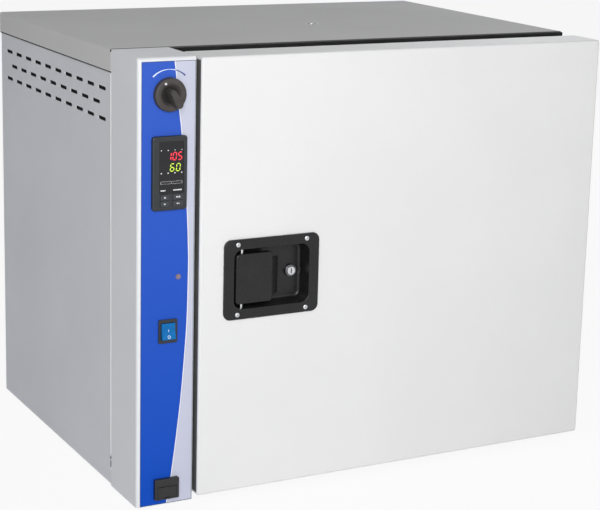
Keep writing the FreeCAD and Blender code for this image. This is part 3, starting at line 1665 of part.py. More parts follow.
def build_handle_paddle():
    """The paddle: a hollow plate with a sloped finger lip, a hinge barrel and a tab behind."""
    face = plate_front + dim.paddle_recess
    depth_end = face + dim.paddle_depth
    low = (paddle_left, handle_z - dim.paddle_tall / 2)
    high = (paddle_left + dim.paddle_width, handle_z + dim.paddle_tall / 2)
    body = new_body("HandlePaddle")
    pad(body, "XZ", face, depth_end, rounded(low, high, dim.paddle_corner))
    fillet(body, dim.paddle_edge, lambda edge: edge_at(edge, "y", face))
    low_in, high_in = shrunk(low, high, dim.paddle_wall)
    pocket(body, "XZ", face + dim.paddle_wall, depth_end,
           rounded(low_in, high_in, dim.paddle_corner - dim.paddle_wall))
    add_finger_lip(body, high[0], face)
    pad(body, "XY", low_in[1] - dim.contact_gap, high_in[1] + dim.contact_gap,
        circle((pivot_x, pivot_y), dim.pivot_barrel))
    half = dim.tab_thickness / 2
    pad(body, "XY", handle_z - dim.tab_width / 2, handle_z + dim.tab_width / 2,
        rectangle((pivot_x - half, pivot_y), (pivot_x + half, pivot_y + dim.tab_reach)))
    pocket(body, "XY", low[1], high[1], circle((pivot_x, pivot_y), dim.pivot_radius))
    keep(body, "handle_paddle")


def add_finger_lip(body, edge_x, face):
    """The finger lip that slopes back from the paddle's right edge."""
    start = (edge_x - dim.paddle_edge * 0.3, face + dim.paddle_edge * 0.3)
    end = (edge_x + dim.lip_reach, start[1] + dim.lip_fall)
    behind = (-dim.lip_thickness * 0.55, dim.lip_thickness * 0.85)
    outline = polygon(start, end, (end[0] + behind[0], end[1] + behind[1]),
                      (start[0] + behind[0], start[1] + behind[1]))
    pad(body, "XY", handle_z - dim.paddle_tall / 2 + dim.lip_inset,
        handle_z + dim.paddle_tall / 2 - dim.lip_inset, outline)


def build_paddle_pin():
    """The upright pin that the paddle turns on."""
    reach = dim.dish_tall / 2 + dim.dish_wall
    pin = rod((pivot_x, pivot_y, handle_z - reach), "z", dim.pivot_radius, reach * 2)
    keep(pin, "paddle_pin")


def build_latch_bolt():
    """The flat bolt that the paddle's tab draws back out of the strike."""
    tip = door_left - dim.bolt_reach
    tail = pivot_x + dim.tab_thickness + dim.bolt_reach + dim.bolt_tail
    bevel = dim.bolt_bevel
    body = new_body("LatchBolt")
    outline = polygon((tip, bolt_front), (tail, bolt_front), (tail, bolt_back),
                      (tip + bevel, bolt_back), (tip, bolt_back - bevel))
    pad(body, "XY", bolt_low, bolt_high, outline)
    half_up = dim.tab_width / 2 + dim.bolt_play
    half_wide = dim.bolt_window / 2
    window = rectangle((pivot_x - half_wide, handle_z - half_up),
                       (pivot_x + half_wide, handle_z + half_up))
    pocket(body, "XZ", bolt_front, bolt_back, window)
    keep(body, "latch_bolt")


# Hinges

def hinge_bottoms():
    """The lower end of each hinge."""
    return {"lower": bottom + dim.hinge_low, "upper": top - dim.hinge_drop - dim.hinge_length}


def build_frame_leaf(label, low_z):
    """The leaf on the cabinet: plate, arm and the lower knuckle."""
    high_z = low_z + dim.hinge_length
    split = low_z + (dim.hinge_length - dim.hinge_split) / 2
    half_arm = dim.hinge_arm / 2
    half_leaf = dim.hinge_leaf_width / 2
    plate = block((hinge_x - half_leaf, side_front - dim.hinge_leaf, low_z),
                  (hinge_x + half_leaf, side_front, high_z))
    arm = block((hinge_x - half_arm, hinge_y, low_z), (hinge_x + half_arm, side_front, split))
    knuckle = rod((hinge_x, hinge_y, low_z), "z", dim.hinge_barrel, split - low_z)
    bore = rod((hinge_x, hinge_y, low_z), "z", dim.hinge_pin_radius + dim.running_gap,
               dim.hinge_length)
    keep(cut(join(plate, arm, knuckle), bore), label)


def build_door_leaf(label, low_z):
    """The leaf on the door: plate, arm and the upper knuckle."""
    high_z = low_z + dim.hinge_length
    split = low_z + (dim.hinge_length + dim.hinge_split) / 2
    half_arm = dim.hinge_arm / 2
    x_high = door_right - dim.door_bend
    plate = block((x_high - dim.hinge_leaf_width, door_back, low_z),
                  (x_high, door_back + dim.hinge_leaf, high_z))
    arm = block((hinge_x - half_arm, door_back, split), (hinge_x + half_arm, hinge_y, high_z))
    knuckle = rod((hinge_x, hinge_y, split), "z", dim.hinge_barrel, high_z - split)
    bore = rod((hinge_x, hinge_y, low_z), "z", dim.hinge_pin_radius, dim.hinge_length)
    keep(cut(join(plate, arm, knuckle), bore), label)


def build_hinge_pins():
    """Two hinge pins with a cap on the upper knuckle."""
    pins = []
    for low_z in hinge_bottoms().values():
        shank = rod((hinge_x, hinge_y, low_z), "z", dim.hinge_pin_radius, dim.hinge_length)
        cap = rod((hinge_x, hinge_y, low_z + dim.hinge_length), "z", dim.hinge_pin_head,
                  dim.hinge_pin_cap)
        pins.append(join(shank, cap))
    keep(group(*pins), "hinge_pins")


# Electrical parts

def build_mains_inlet():
    """The mains inlet on the rear panel: flange, body, well and three blades."""
    centre_x = left + dim.inlet_across
    centre_z = bottom + dim.inlet_height
    body = new_body("MainsInlet")
    half = (dim.inlet_width / 2, dim.inlet_tall / 2)
    flange = rounded((centre_x - half[0], centre_z - half[1]),
                     (centre_x + half[0], centre_z + half[1]), dim.bezel_corner)
    pad(body, "XZ", rear_face, back + dim.inlet_rim, flange)
    half = (dim.inlet_body_width / 2, dim.inlet_body_tall / 2)
    case = rectangle((centre_x - half[0], centre_z - half[1]),
                     (centre_x + half[0], centre_z + half[1]))
    pad(body, "XZ", rear_face - dim.inlet_body_depth, rear_face, case)
    half = (dim.inlet_well_width / 2, dim.inlet_well_tall / 2)
    well = rectangle((centre_x - half[0], centre_z - half[1]),
                     (centre_x + half[0], centre_z + half[1]))
    end = back + dim.inlet_rim
    pocket(body, "XZ", end - dim.inlet_well_depth, end, well)
    floor = end - dim.inlet_well_depth
    blades = []
    for number, lift in ((-1, as_size(0)), (0, dim.inlet_pin_tall / 2), (1, as_size(0))):
        low_x = centre_x + dim.inlet_pin_pitch * number - dim.inlet_pin_width / 2
        low_z = centre_z + lift - dim.inlet_pin_tall / 2
        blades.append(rectangle((low_x, low_z),
                                (low_x + dim.inlet_pin_width, low_z + dim.inlet_pin_tall)))
    pad(body, "XZ", floor, floor + dim.inlet_pin_length, both(*blades))
    keep(body, "mains_inlet")


def build_power_relay():
    """The heater's relay with its finned heat sink, on the partition."""
    y_low = bulkhead_back + dim.relay_back
    z_low = bottom + dim.relay_height - dim.relay_tall / 2
    base_x = partition_left - dim.relay_base
    base = block((base_x, y_low, z_low),
                 (partition_left, y_low + dim.relay_width, z_low + dim.relay_tall))
    fins = []
    pitch = (dim.relay_width - dim.relay_fin) / (dim.relay_fins - 1)
    for number in range(whole(dim.relay_fins)):
        start = y_low + pitch * number
        low = (base_x - dim.relay_fin_reach, start, z_low)
        fins.append(block(low, (base_x, start + dim.relay_fin, z_low + dim.relay_tall)))
    face = base_x - dim.relay_fin_reach
    module = block((face - dim.relay_module, y_low, z_low + dim.relay_tall / 4),
                   (face, y_low + dim.relay_width, z_low + dim.relay_tall * 3 / 4))
    keep(join(base, *fins, module), "power_relay")


# Building, checking and writing

def build_all():
    """Build every piece of the oven."""
    build_top_cover()
    build_left_side_panel()
    build_right_side_panel()
    build_rear_panel()
    build_rear_screws()
    build_base_panel()
    build_feet()
    build_front_panel()
    build_front_frame()
    build_chamber()
    build_insulation_sleeve()
    build_insulation_rear()
    build_partition_panel()
    build_vent_tube()
    build_chamber_probe()
    build_shelf_racks()
    build_shelf("lower_shelf", dim.lower_shelf_level)
    build_shelf("upper_shelf", dim.upper_shelf_level)
    build_fan_motor()
    build_fan_impeller()
    build_fan_baffle()
    build_ring_heater()
    build_air_duct()
    build_air_flap()
    build_knob_bushing()
    build_air_knob()
    build_control_box()
    build_strike_plate()
    build_panel_overlay()
    build_controller_case()
    build_controller_window()
    for name in key_places:
        build_key(name)
    build_alarm_lamp()
    build_switch_housing()
    build_switch_rocker()
    build_port_housing()
    build_port_flap()
    build_service_socket()
    build_door_skin()
    build_door_liner()
    build_door_insulation()
    build_door_gasket()
    build_handle_screws()
    build_handle_dish()
    build_lock_body()
    build_lock_plug()
    build_handle_paddle()
    build_paddle_pin()
    build_latch_bolt()
    for side, low_z in hinge_bottoms().items():
        build_frame_leaf(f"hinge_leaf_frame_{side}", low_z)
        build_door_leaf(f"hinge_leaf_door_{side}", low_z)
    build_hinge_pins()
    build_mains_inlet()
    build_power_relay()


def check_document():
    """Stop if anything failed, is empty or invalid, or if a cut took nothing away."""
    for item in doc.Objects:
        if "Invalid" in item.State or "Error" in item.State:
            raise RuntimeError(f"{item.Name} ({item.Label}) failed: {item.State}")
        if item.TypeId == "PartDesign::Pocket":
            removed = item.BaseFeature.Shape.Volume - item.Shape.Volume
            if removed <= TOUCH:
                raise RuntimeError(f"{item.Name} cuts nothing")
    for item in pieces:
        if item.Shape.isNull() or not item.Shape.isValid():
            raise RuntimeError(f"{item.Label} has no valid shape")


def write_pieces():
    """Write one file for each piece."""
    os.makedirs("parts", exist_ok=True)
    for item in pieces:
        item.Shape.exportStep(os.path.join("parts", f"{item.Label}.step"))


build_all()
doc.recompute()
check_document()
write_pieces()
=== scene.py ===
import math

import bmesh
import bpy
from mathutils import Matrix, Vector
from mathutils.bvhtree import BVHTree


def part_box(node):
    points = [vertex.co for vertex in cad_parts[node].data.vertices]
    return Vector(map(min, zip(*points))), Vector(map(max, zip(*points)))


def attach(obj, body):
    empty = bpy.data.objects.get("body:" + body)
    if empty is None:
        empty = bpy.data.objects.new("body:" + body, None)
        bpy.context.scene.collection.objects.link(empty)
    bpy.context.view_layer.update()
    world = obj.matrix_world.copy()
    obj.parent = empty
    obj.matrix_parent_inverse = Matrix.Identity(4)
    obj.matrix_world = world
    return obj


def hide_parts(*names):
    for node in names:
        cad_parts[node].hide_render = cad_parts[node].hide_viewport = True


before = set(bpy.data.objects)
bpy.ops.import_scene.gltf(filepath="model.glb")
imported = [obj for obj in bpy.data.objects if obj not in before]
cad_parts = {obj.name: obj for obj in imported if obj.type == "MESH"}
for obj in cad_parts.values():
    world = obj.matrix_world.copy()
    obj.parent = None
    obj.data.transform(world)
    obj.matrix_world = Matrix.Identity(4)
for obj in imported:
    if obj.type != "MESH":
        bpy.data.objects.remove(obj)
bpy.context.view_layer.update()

scene = bpy.context.scene
scene.view_settings.view_transform = "Standard"


# Camera: a long lens seen from the front left and a little above, so that the
# control column, the door, the slotted side and the lid all show.
camera_data = bpy.data.cameras.new("camera")
camera_data.sensor_width = 36.0
camera_data.lens = 104.38
camera_data.shift_x = -0.0333
camera_data.shift_y = -0.0667
camera_data.clip_end = 50.0
camera = bpy.data.objects.new("camera", camera_data)
scene.collection.objects.link(camera)
turn = (Matrix.Rotation(-0.499975, 4, "Z") @ Matrix.Rotation(math.pi / 2 - 0.222086, 4, "X")
        @ Matrix.Rotation(0.0271317, 4, "Z"))
camera.matrix_world = Matrix.Translation((-1.18283, -2.25773, 0.89096)) @ turn
scene.camera = camera


# Floor and light: a pale floor without a horizon, and the plain soft light of a studio,
# one large lamp at the front left, a weak one at the back right, and the room's own light.
def new_material(name):
    """A material whose tree has only its shader and its output."""
    material = bpy.data.materials.new(name)
    material.use_nodes = True
    return material, material.node_tree, material.node_tree.nodes["Principled BSDF"]


def new_piece(name, shape, material, body=None):
    """An object made from a bmesh, with one material, riding on a body."""
    smooth_below = math.radians(35)
    bmesh.ops.remove_doubles(shape, verts=shape.verts, dist=1e-7)
    bmesh.ops.recalc_face_normals(shape, faces=shape.faces)
    mesh = bpy.data.meshes.new(name)
    shape.to_mesh(mesh)
    shape.free()
    mesh.shade_smooth()
    mesh.set_sharp_from_angle(angle=smooth_below)
    piece = bpy.data.objects.new(name, mesh)
    scene.collection.objects.link(piece)
    mesh.materials.append(material)
    if body:
        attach(piece, body)
    return piece


def room_rays(tree):
    """1 where a ray from the camera, a gloss or a glass meets the surroundings."""
    path = tree.nodes.new("ShaderNodeLightPath")
    seen = calc(tree, "MAXIMUM", path.outputs["Is Camera Ray"], path.outputs["Is Glossy Ray"])
    return calc(tree, "MAXIMUM", seen, path.outputs["Is Transmission Ray"])


def calc(tree, operation, *terms):
    """One step of arithmetic on sockets and plain numbers."""
    node = tree.nodes.new("ShaderNodeMath")
    node.operation = operation
    for socket, term in zip(node.inputs, terms):
        if isinstance(term, (int, float)):
            socket.default_value = term
        else:
            tree.links.new(term, socket)
    return node.outputs[0]


floor_paper, tree, shader = new_material("floor_paper")
shader.inputs["Roughness"].default_value = 0.9
shader.inputs["Specular IOR Level"].default_value = 0.1
fibre = tree.nodes.new("ShaderNodeTexNoise")
fibre.inputs["Scale"].default_value = 40.0
fibre_tone = tree.nodes.new("ShaderNodeValToRGB")
fibre_tone.color_ramp.elements[0].color = (0.86, 0.86, 0.86, 1)
fibre_tone.color_ramp.elements[1].color = (0.9, 0.9, 0.9, 1)
tree.links.new(fibre.outputs["Fac"], fibre_tone.inputs["Fac"])
tree.links.new(fibre_tone.outputs["Color"], shader.inputs["Base Color"])
glow = tree.nodes.new("ShaderNodeEmission")
glow.inputs["Color"].default_value = (1, 1, 1, 1)
lifted = tree.nodes.new("ShaderNodeMixShader")
tree.links.new(calc(tree, "MULTIPLY", room_rays(tree), 0.9), lifted.inputs["Fac"])
tree.links.new(shader.outputs["BSDF"], lifted.inputs[1])
tree.links.new(glow.outputs["Emission"], lifted.inputs[2])
tree.links.new(lifted.outputs["Shader"], tree.nodes["Material Output"].inputs["Surface"])
shape = bmesh.new()
bmesh.ops.create_grid(shape, x_segments=1, y_segments=1, size=9.0)
floor = new_piece("floor", shape, floor_paper)

world = bpy.data.worlds.new("room")
scene.world = world
world.use_nodes = True
tree = world.node_tree
room = tree.nodes["Background"]
room.inputs["Color"].default_value = (0.95, 0.97, 1.0, 1)
room.inputs["Strength"].default_value = 0.24
white = tree.nodes.new("ShaderNodeBackground")
white.inputs["Color"].default_value = (1, 1, 1, 1)
chosen = tree.nodes.new("ShaderNodeMixShader")
tree.links.new(room_rays(tree), chosen.inputs["Fac"])
tree.links.new(room.outputs["Background"], chosen.inputs[1])
tree.links.new(white.outputs["Background"], chosen.inputs[2])
tree.links.new(chosen.outputs["Shader"], tree.nodes["World Output"].inputs["Surface"])


def softbox(name, place, aim, size, power, colour):
    """A square lamp that faces the point it lights."""
    data = bpy.data.lights.new(name, "AREA")
    data.size = size
    data.energy = power
    data.color = colour
    lamp = bpy.data.objects.new(name, data)
    lamp.location = place
    lamp.rotation_euler = (Vector(aim) - Vector(place)).to_track_quat("-Z", "Y").to_euler()
    scene.collection.objects.link(lamp)


softbox("key_lamp", (-1.15, -2.62, 1.3), (-0.05, 0.0, 0.3), 1.5, 60.0, (1.0, 0.995, 0.985))
softbox("back_lamp", (2.2, 2.0, 1.8), (0.0, 0.0, 0.3), 1.6, 20.0, (0.97, 0.98, 1.0))


# Lid and rear panel: folded steel sheet, powder coated in a light warm grey; the coat
# has a fine orange peel, and its grain group serves every finish of the oven. The lid's
# grey is set a little darker than the sides': painted shade for its top, which gets less light.
def grain_group():
    """Patches of tone and a fine grain, in metres of the object."""
    group = bpy.data.node_groups.new("surface_grain", "ShaderNodeTree")
    for name, kind, value in (("Base", "NodeSocketColor", (0.5, 0.5, 0.5, 1)),
                              ("Shade", "NodeSocketColor", (0.5, 0.5, 0.5, 1)),
                              ("Patch Scale", "NodeSocketFloat", 6.0),
                              ("Grain Scale", "NodeSocketFloat", 900.0),
                              ("Stretch", "NodeSocketVector", (1.0, 1.0, 1.0)),
                              ("Roughness", "NodeSocketFloat", 0.5),
                              ("Roughness Spread", "NodeSocketFloat", 0.1)):
        socket = group.interface.new_socket(name, in_out="INPUT", socket_type=kind)
        socket.default_value = value
    for name, kind in (("Color", "NodeSocketColor"), ("Roughness", "NodeSocketFloat"),
                       ("Height", "NodeSocketFloat")):
        group.interface.new_socket(name, in_out="OUTPUT", socket_type=kind)
    given = group.nodes.new("NodeGroupInput")
    result = group.nodes.new("NodeGroupOutput")
    place = group.nodes.new("ShaderNodeTexCoord")
    drawn = group.nodes.new("ShaderNodeVectorMath")
    drawn.operation = "MULTIPLY"
    grain = group.nodes.new("ShaderNodeTexNoise")
    grain.inputs["Detail"].default_value = 3.0
    patch = group.nodes.new("ShaderNodeTexNoise")
    patch.inputs["Detail"].default_value = 4.0
    tone = group.nodes.new("ShaderNodeMix")
    tone.data_type = "RGBA"
    link = group.links.new
    link(place.outputs["Object"], drawn.inputs[0])
    link(given.outputs["Stretch"], drawn.inputs[1])
    link(drawn.outputs["Vector"], grain.inputs["Vector"])
    link(given.outputs["Grain Scale"], grain.inputs["Scale"])
    link(place.outputs["Object"], patch.inputs["Vector"])
    link(given.outputs["Patch Scale"], patch.inputs["Scale"])
    spread = calc(group, "MULTIPLY_ADD", patch.outputs["Fac"], 2.4, -0.7)
    grained = calc(group, "MULTIPLY_ADD", grain.outputs["Fac"], 0.5, spread)
    bounded = calc(group, "MINIMUM", calc(group, "MAXIMUM", grained, 0.0), 1.0)
    link(bounded, tone.inputs[0])
    link(given.outputs["Base"], tone.inputs[6])
    link(given.outputs["Shade"], tone.inputs[7])
    link(tone.outputs[2], result.inputs["Color"])
    offset = calc(group, "SUBTRACT", bounded, 0.5)
    rough = calc(group, "MULTIPLY_ADD", offset, given.outputs["Roughness Spread"],
                 given.outputs["Roughness"])
    link(rough, result.inputs["Roughness"])
    link(grain.outputs["Fac"], result.inputs["Height"])
    return group


surface_grain = grain_group()


def finish(name, base, shade, roughness, spread=0.06, patch=5.0, grain=900.0,
           stretch=(1, 1, 1), bump=0.00003, metallic=0.0, coat=0.0, specular=0.5):
    """A finish made of the grain group, its bump, and one shader."""
    material, tree, shader = new_material(name)
    grains = tree.nodes.new("ShaderNodeGroup")
    grains.node_tree = surface_grain
    grains.inputs["Base"].default_value = (*base, 1)
    grains.inputs["Shade"].default_value = (*shade, 1)
    grains.inputs["Patch Scale"].default_value = patch
    grains.inputs["Grain Scale"].default_value = grain
    grains.inputs["Stretch"].default_value = stretch
    grains.inputs["Roughness"].default_value = roughness
    grains.inputs["Roughness Spread"].default_value = spread
    relief = tree.nodes.new("ShaderNodeBump")
    relief.inputs["Distance"].default_value = bump
    tree.links.new(grains.outputs["Height"], relief.inputs["Height"])
    tree.links.new(grains.outputs["Color"], shader.inputs["Base Color"])
    tree.links.new(grains.outputs["Roughness"], shader.inputs["Roughness"])
    tree.links.new(relief.outputs["Normal"], shader.inputs["Normal"])
    shader.inputs["Metallic"].default_value = metallic
    shader.inputs["Coat Weight"].default_value = coat
    shader.inputs["Coat Roughness"].default_value = 0.25
    shader.inputs["Specular IOR Level"].default_value = specular
    return material


def mixed(tree, factor, first, second):
    """A blend of two colours, each a socket or a plain colour."""
    node = tree.nodes.new("ShaderNodeMix")
    node.data_type = "RGBA"
    for socket, term in ((node.inputs[0], factor), (node.inputs[6], first),
                         (node.inputs[7], second)):
        if isinstance(term, tuple):
            socket.default_value = (*term, 1)
        else:
            tree.links.new(term, socket)
    return node.outputs[2]


def dress(material, *names):
    """Give CAD nodes their finish."""
    for name in names:
        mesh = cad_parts[name].data
        mesh.materials.clear()
        mesh.materials.append(material)


lid_shaded_paint = finish("lid_shaded_paint", (0.7, 0.695, 0.69), (0.665, 0.66, 0.655), 0.8,
                   grain=650.0, bump=0.00006, specular=0.12)
dress(lid_shaded_paint, "top_cover")
lid_low, lid_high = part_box("top_cover")
# Painted shade: along the lid's front edge, the top of its front fold and the front strip of its
# top turn near black, for the shade of the seam over the control box and the door.
shade_reach, shade_depth = 0.0055, 0.0035
tree = lid_shaded_paint.node_tree
place = tree.nodes.new("ShaderNodeTexCoord")
split = tree.nodes.new("ShaderNodeSeparateXYZ")
tree.links.new(place.outputs["Object"], split.inputs["Vector"])
seam_shade_mask = calc(tree, "MULTIPLY",
               calc(tree, "LESS_THAN", split.outputs["Y"], lid_low.y + shade_reach),
               calc(tree, "GREATER_THAN", split.outputs["Z"], lid_high.z - shade_depth))
painted = tree.nodes["Principled BSDF"].inputs["Base Color"]
tone = mixed(tree, seam_shade_mask, painted.links[0].from_socket, (0.09, 0.09, 0.09))
tree.links.new(tone, painted)
side_paint = finish("side_paint", (0.76, 0.77, 0.81), (0.71, 0.72, 0.76), 0.55,
                    grain=650.0, bump=0.00006, specular=0.2)
dress(side_paint, "left_side_panel", "right_side_panel", "rear_panel", "front_panel")


# Rear screws: eight plated pan head screws with a cross recess, which hold the rear
# panel on the flanges of the sides.
bright_steel = finish("bright_steel", (0.74, 0.75, 0.76), (0.62, 0.63, 0.65), 0.22,
                      spread=0.12, patch=260.0, grain=2600.0, bump=0.000004, metallic=1.0)


def screw_head(shape, centre, out, radius, height):
    """A domed head with a cross recess; out is -1 towards the front and 1 towards the back."""
    across, along, up = centre
    steps = 28
    rings = []
    for share in (0.0, 0.35, 0.62, 0.84, 0.96):
        angle = share * math.pi / 2
        ring_radius = radius * (0.62 + 0.38 * math.cos(angle)) if share else radius
        lift = height * math.sin(angle)
        rings.append([shape.verts.new((across + ring_radius * math.cos(turn_angle),
                                       along + out * lift,
                                       up + ring_radius * math.sin(turn_angle)))
                      for turn_angle in (2 * math.pi * step / steps for step in range(steps))])
    for lower, upper in zip(rings, rings[1:]):
        for step in range(steps):
            after = (step + 1) % steps
            shape.faces.new((lower[step], lower[after], upper[after], upper[step]))
    wide, long = radius * 0.1, radius * 0.5
    cross = [(wide, long), (wide, wide), (long, wide), (long, -wide), (wide, -wide),
             (wide, -long), (-wide, -long), (-wide, -wide), (-long, -wide), (-long, wide),
             (-wide, wide), (-wide, long)]
    top = along + out * height * math.sin(0.96 * math.pi / 2)
    floor_at = along + out * height * 0.3
    rim = [shape.verts.new((across + x, top, up + z)) for x, z in cross]
    sunk = [shape.verts.new((across + x * 0.8, floor_at, up + z * 0.8)) for x, z in cross]
    count = len(cross)
    edges = [shape.edges.new((rim[step], rim[(step + 1) % count])) for step in range(count)]
    ring = rings[-1]
    edges += [shape.edges.get((ring[step], ring[(step + 1) % steps])) for step in range(steps)]
    bmesh.ops.triangle_fill(shape, edges=edges, use_beauty=True)
    for step in range(count):
        after = (step + 1) % count
        shape.faces.new((rim[step], rim[after], sunk[after], sunk[step]))
    shape.faces.new(sunk)


rear_low, rear_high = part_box("rear_screws")
rear_radius, rear_rows = 0.004, 4
shape = bmesh.new()
for across in (rear_low.x + rear_radius, rear_high.x - rear_radius):
    for row in range(rear_rows):
        up = rear_low.z + rear_radius + (rear_high.z - rear_low.z
                                         - 2 * rear_radius) * row / (rear_rows - 1)
        screw_head(shape, (across, rear_high.y - 0.002, up), 1, rear_radius, 0.0019)
screws = new_piece("rear_screw_heads", shape, bright_steel, "cabinet")
dress(bright_steel, "rear_screws")


# Base and feet: a galvanised base sheet, and four turned rubber feet with two grooves
# and a rounded sole, each held by a screw.
galvanised = finish("galvanised", (0.5, 0.51, 0.53), (0.4, 0.41, 0.43), 0.42, spread=0.2,
                    patch=90.0, grain=300.0, bump=0.00001, metallic=1.0)
dress(galvanised, "base_panel", "partition_panel", "air_duct")

foot_rubber = finish("foot_rubber", (0.022, 0.022, 0.023), (0.035, 0.035, 0.036), 0.75,
                     patch=60.0, grain=1800.0, bump=0.00003, specular=0.3)


def turned(shape, profile, place, steps=48):
    """A turned form: profile is radius and height pairs, place maps a local point."""
    rings = []
    for radius, height in profile:
        if radius < 1e-6:
            rings.append([shape.verts.new(place((0.0, 0.0, height)))])
            continue
        rings.append([shape.verts.new(place((radius * math.cos(2 * math.pi * step / steps),
                                             radius * math.sin(2 * math.pi * step / steps),
                                             height)))
                      for step in range(steps)])
    for lower, upper in zip(rings, rings[1:]):
        for step in range(steps):
            after = (step + 1) % steps
            corners = []
            for ring, index in ((lower, step), (lower, after), (upper, after), (upper, step)):
                corner = ring[0] if len(ring) == 1 else ring[index]
                if corner not in corners:
                    corners.append(corner)
            shape.faces.new(corners)


feet_low, feet_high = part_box("feet")
shape = bmesh.new()
foot_radius = 0.015
foot_profile = [(0.0, 0.003), (0.0035, 0.003), (0.0037, 0.0004), (0.0045, 0.0), (0.0128, 0.0),
                (0.0137, 0.0004), (0.0141, 0.0013), (0.0143, 0.0034), (0.0134, 0.0038),
                (0.0134, 0.0048), (0.0144, 0.0052), (0.0146, 0.0076), (0.0137, 0.008),
                (0.0137, 0.009), (0.0147, 0.0094), (0.015, 0.015), (0.0, 0.015)]
for across in (feet_low.x + foot_radius, feet_high.x - foot_radius):
    for along in (feet_low.y + foot_radius, feet_high.y - foot_radius):
        turned(shape, foot_profile,
               lambda point: (across + point[0], along + point[1], point[2]))
feet = new_piece("rubber_feet", shape, foot_rubber, "cabinet")
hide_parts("feet")


# Control box: a column of folded sheet at the left front, coated in a light grey that
# is almost white where the light falls on its front.
control_paint = finish("control_paint", (0.8, 0.815, 0.84), (0.76, 0.775, 0.8), 0.5,
                       grain=650.0, bump=0.00005, specular=0.2)
dress(control_paint, "control_box")


# Lid shade strips: strips of black foam that paint shade, one on the front fold of the lid
# above the door, for the shaded gap there, and one under each side fold, for the dark line
# of the fold's shadow.
black_shade_foam = finish("shade_strip_foam", (0.016, 0.016, 0.016), (0.024, 0.024, 0.024), 0.85, patch=60.0,
              grain=1500.0, bump=0.00008, specular=0.1)


def bar_between(shape, low, high, edge=0.0):
    """A bar between two corners, its edges rounded when an edge radius is given."""
    made = bmesh.ops.create_cube(shape, size=1.0)["verts"]
    for vert in made:
        vert.co = [(start + end) / 2 + part * (end - start)
                   for part, start, end in zip(vert.co, low, high)]
    if edge:
        edges = {side for vert in made for side in vert.link_edges}
        bmesh.ops.bevel(shape, geom=list(edges), offset=edge, segments=2, affect="EDGES")


box_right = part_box("control_box")[1].x
shape = bmesh.new()
bar_between(shape, (box_right + 0.0006, lid_low.y - 0.0012, lid_low.z + 0.0006),
            (lid_high.x - 0.001, lid_low.y + 0.0002, lid_high.z - 0.0012), 0.0003)
for near_x, far_x in ((lid_low.x + 0.0003, lid_low.x + 0.0016),
                      (lid_high.x - 0.0016, lid_high.x - 0.0003)):
    bar_between(shape, (near_x, lid_low.y + 0.002, lid_low.z - 0.0017),
                (far_x, lid_high.y - 0.002, lid_low.z + 0.0002), 0.0002)
lid_shade_strips = new_piece("lid_shade_strips", shape, black_shade_foam, "cabinet")


# Side seam: a pale strip on the folded edge of the side panel beside the control box, a
# painted highlight, and black plates over the two slots of its tabs and the open relief at
# its foot, which paint their shade.
side_low, side_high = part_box("left_side_panel")
shape = bmesh.new()
for low_z, high_z in ((side_low.z + 0.044, lid_low.z - 0.0018),
                      (side_low.z + 0.021, side_low.z + 0.0245)):
    bar_between(shape, (side_low.x - 0.0013, side_low.y + 0.0007, low_z),
                (side_low.x + 0.0004, side_low.y + 0.0036, high_z), 0.0008)
# Painted highlight: the strip's near white paint stands for the light on the fold.
seam_highlight_paint = finish("seam_highlight_paint", (0.94, 0.95, 0.96), (0.9, 0.91, 0.92), 0.35, grain=650.0,
                    bump=0.00003, specular=0.4)
seam = new_piece("side_seam_highlight", shape, seam_highlight_paint, "cabinet")
# Painted shade: black plates on the panel's front edge stand for the shade inside the tab slots
# and the relief at the foot.
shadow_black = finish("shadow_black", (0.012, 0.012, 0.013), (0.018, 0.018, 0.019), 0.9,
                      patch=200.0, grain=900.0, bump=0.00001, specular=0.05)
shape = bmesh.new()
for low_z, high_z, reach in ((0.0, 0.021, 0.0016), (0.0255, 0.0345, 0.0046),
                             (0.0365, 0.0405, 0.005)):
    bar_between(shape, (side_low.x - 0.0002, side_low.y - 0.0012, side_low.z + low_z),
                (side_low.x + 0.0009, side_low.y + reach, side_low.z + high_z))
slot_shadow_plates = new_piece("side_tab_slot_shadows", shape, shadow_black, "cabinet")


# Dust screen: a sheet of black gauze clipped behind the three rows of slots, which hides
# the insulation from outside.
gauze = finish("dust_gauze", (0.008, 0.008, 0.008), (0.016, 0.016, 0.016), 0.9, patch=900.0,
               grain=2400.0, bump=0.00004, specular=0.05)
shape = bmesh.new()
bar_between(shape, (side_low.x + 0.0015, side_low.y + 0.022, side_high.z - 0.112),
            (side_low.x + 0.0019, side_high.y - 0.022, side_high.z - 0.024))
screen = new_piece("dust_screen", shape, gauze, "cabinet")


# Panel overlay: a printed film with a blue field, a lilac grey field beyond a curved
# white line, and the arc scale of the air control. It is glued on the control box.
overlay_low, overlay_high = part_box("panel_overlay")
panel_left = overlay_low.x - 0.0048
panel_width = 0.08
line_width, outline_width = 0.0011, 0.0009
arc_at, arc_half_angle = 0.032, 0.76
knob_low, knob_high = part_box("knob_bushing")
knob_x = (knob_low.x + knob_high.x) / 2
knob_z = (knob_low.z + knob_high.z) / 2

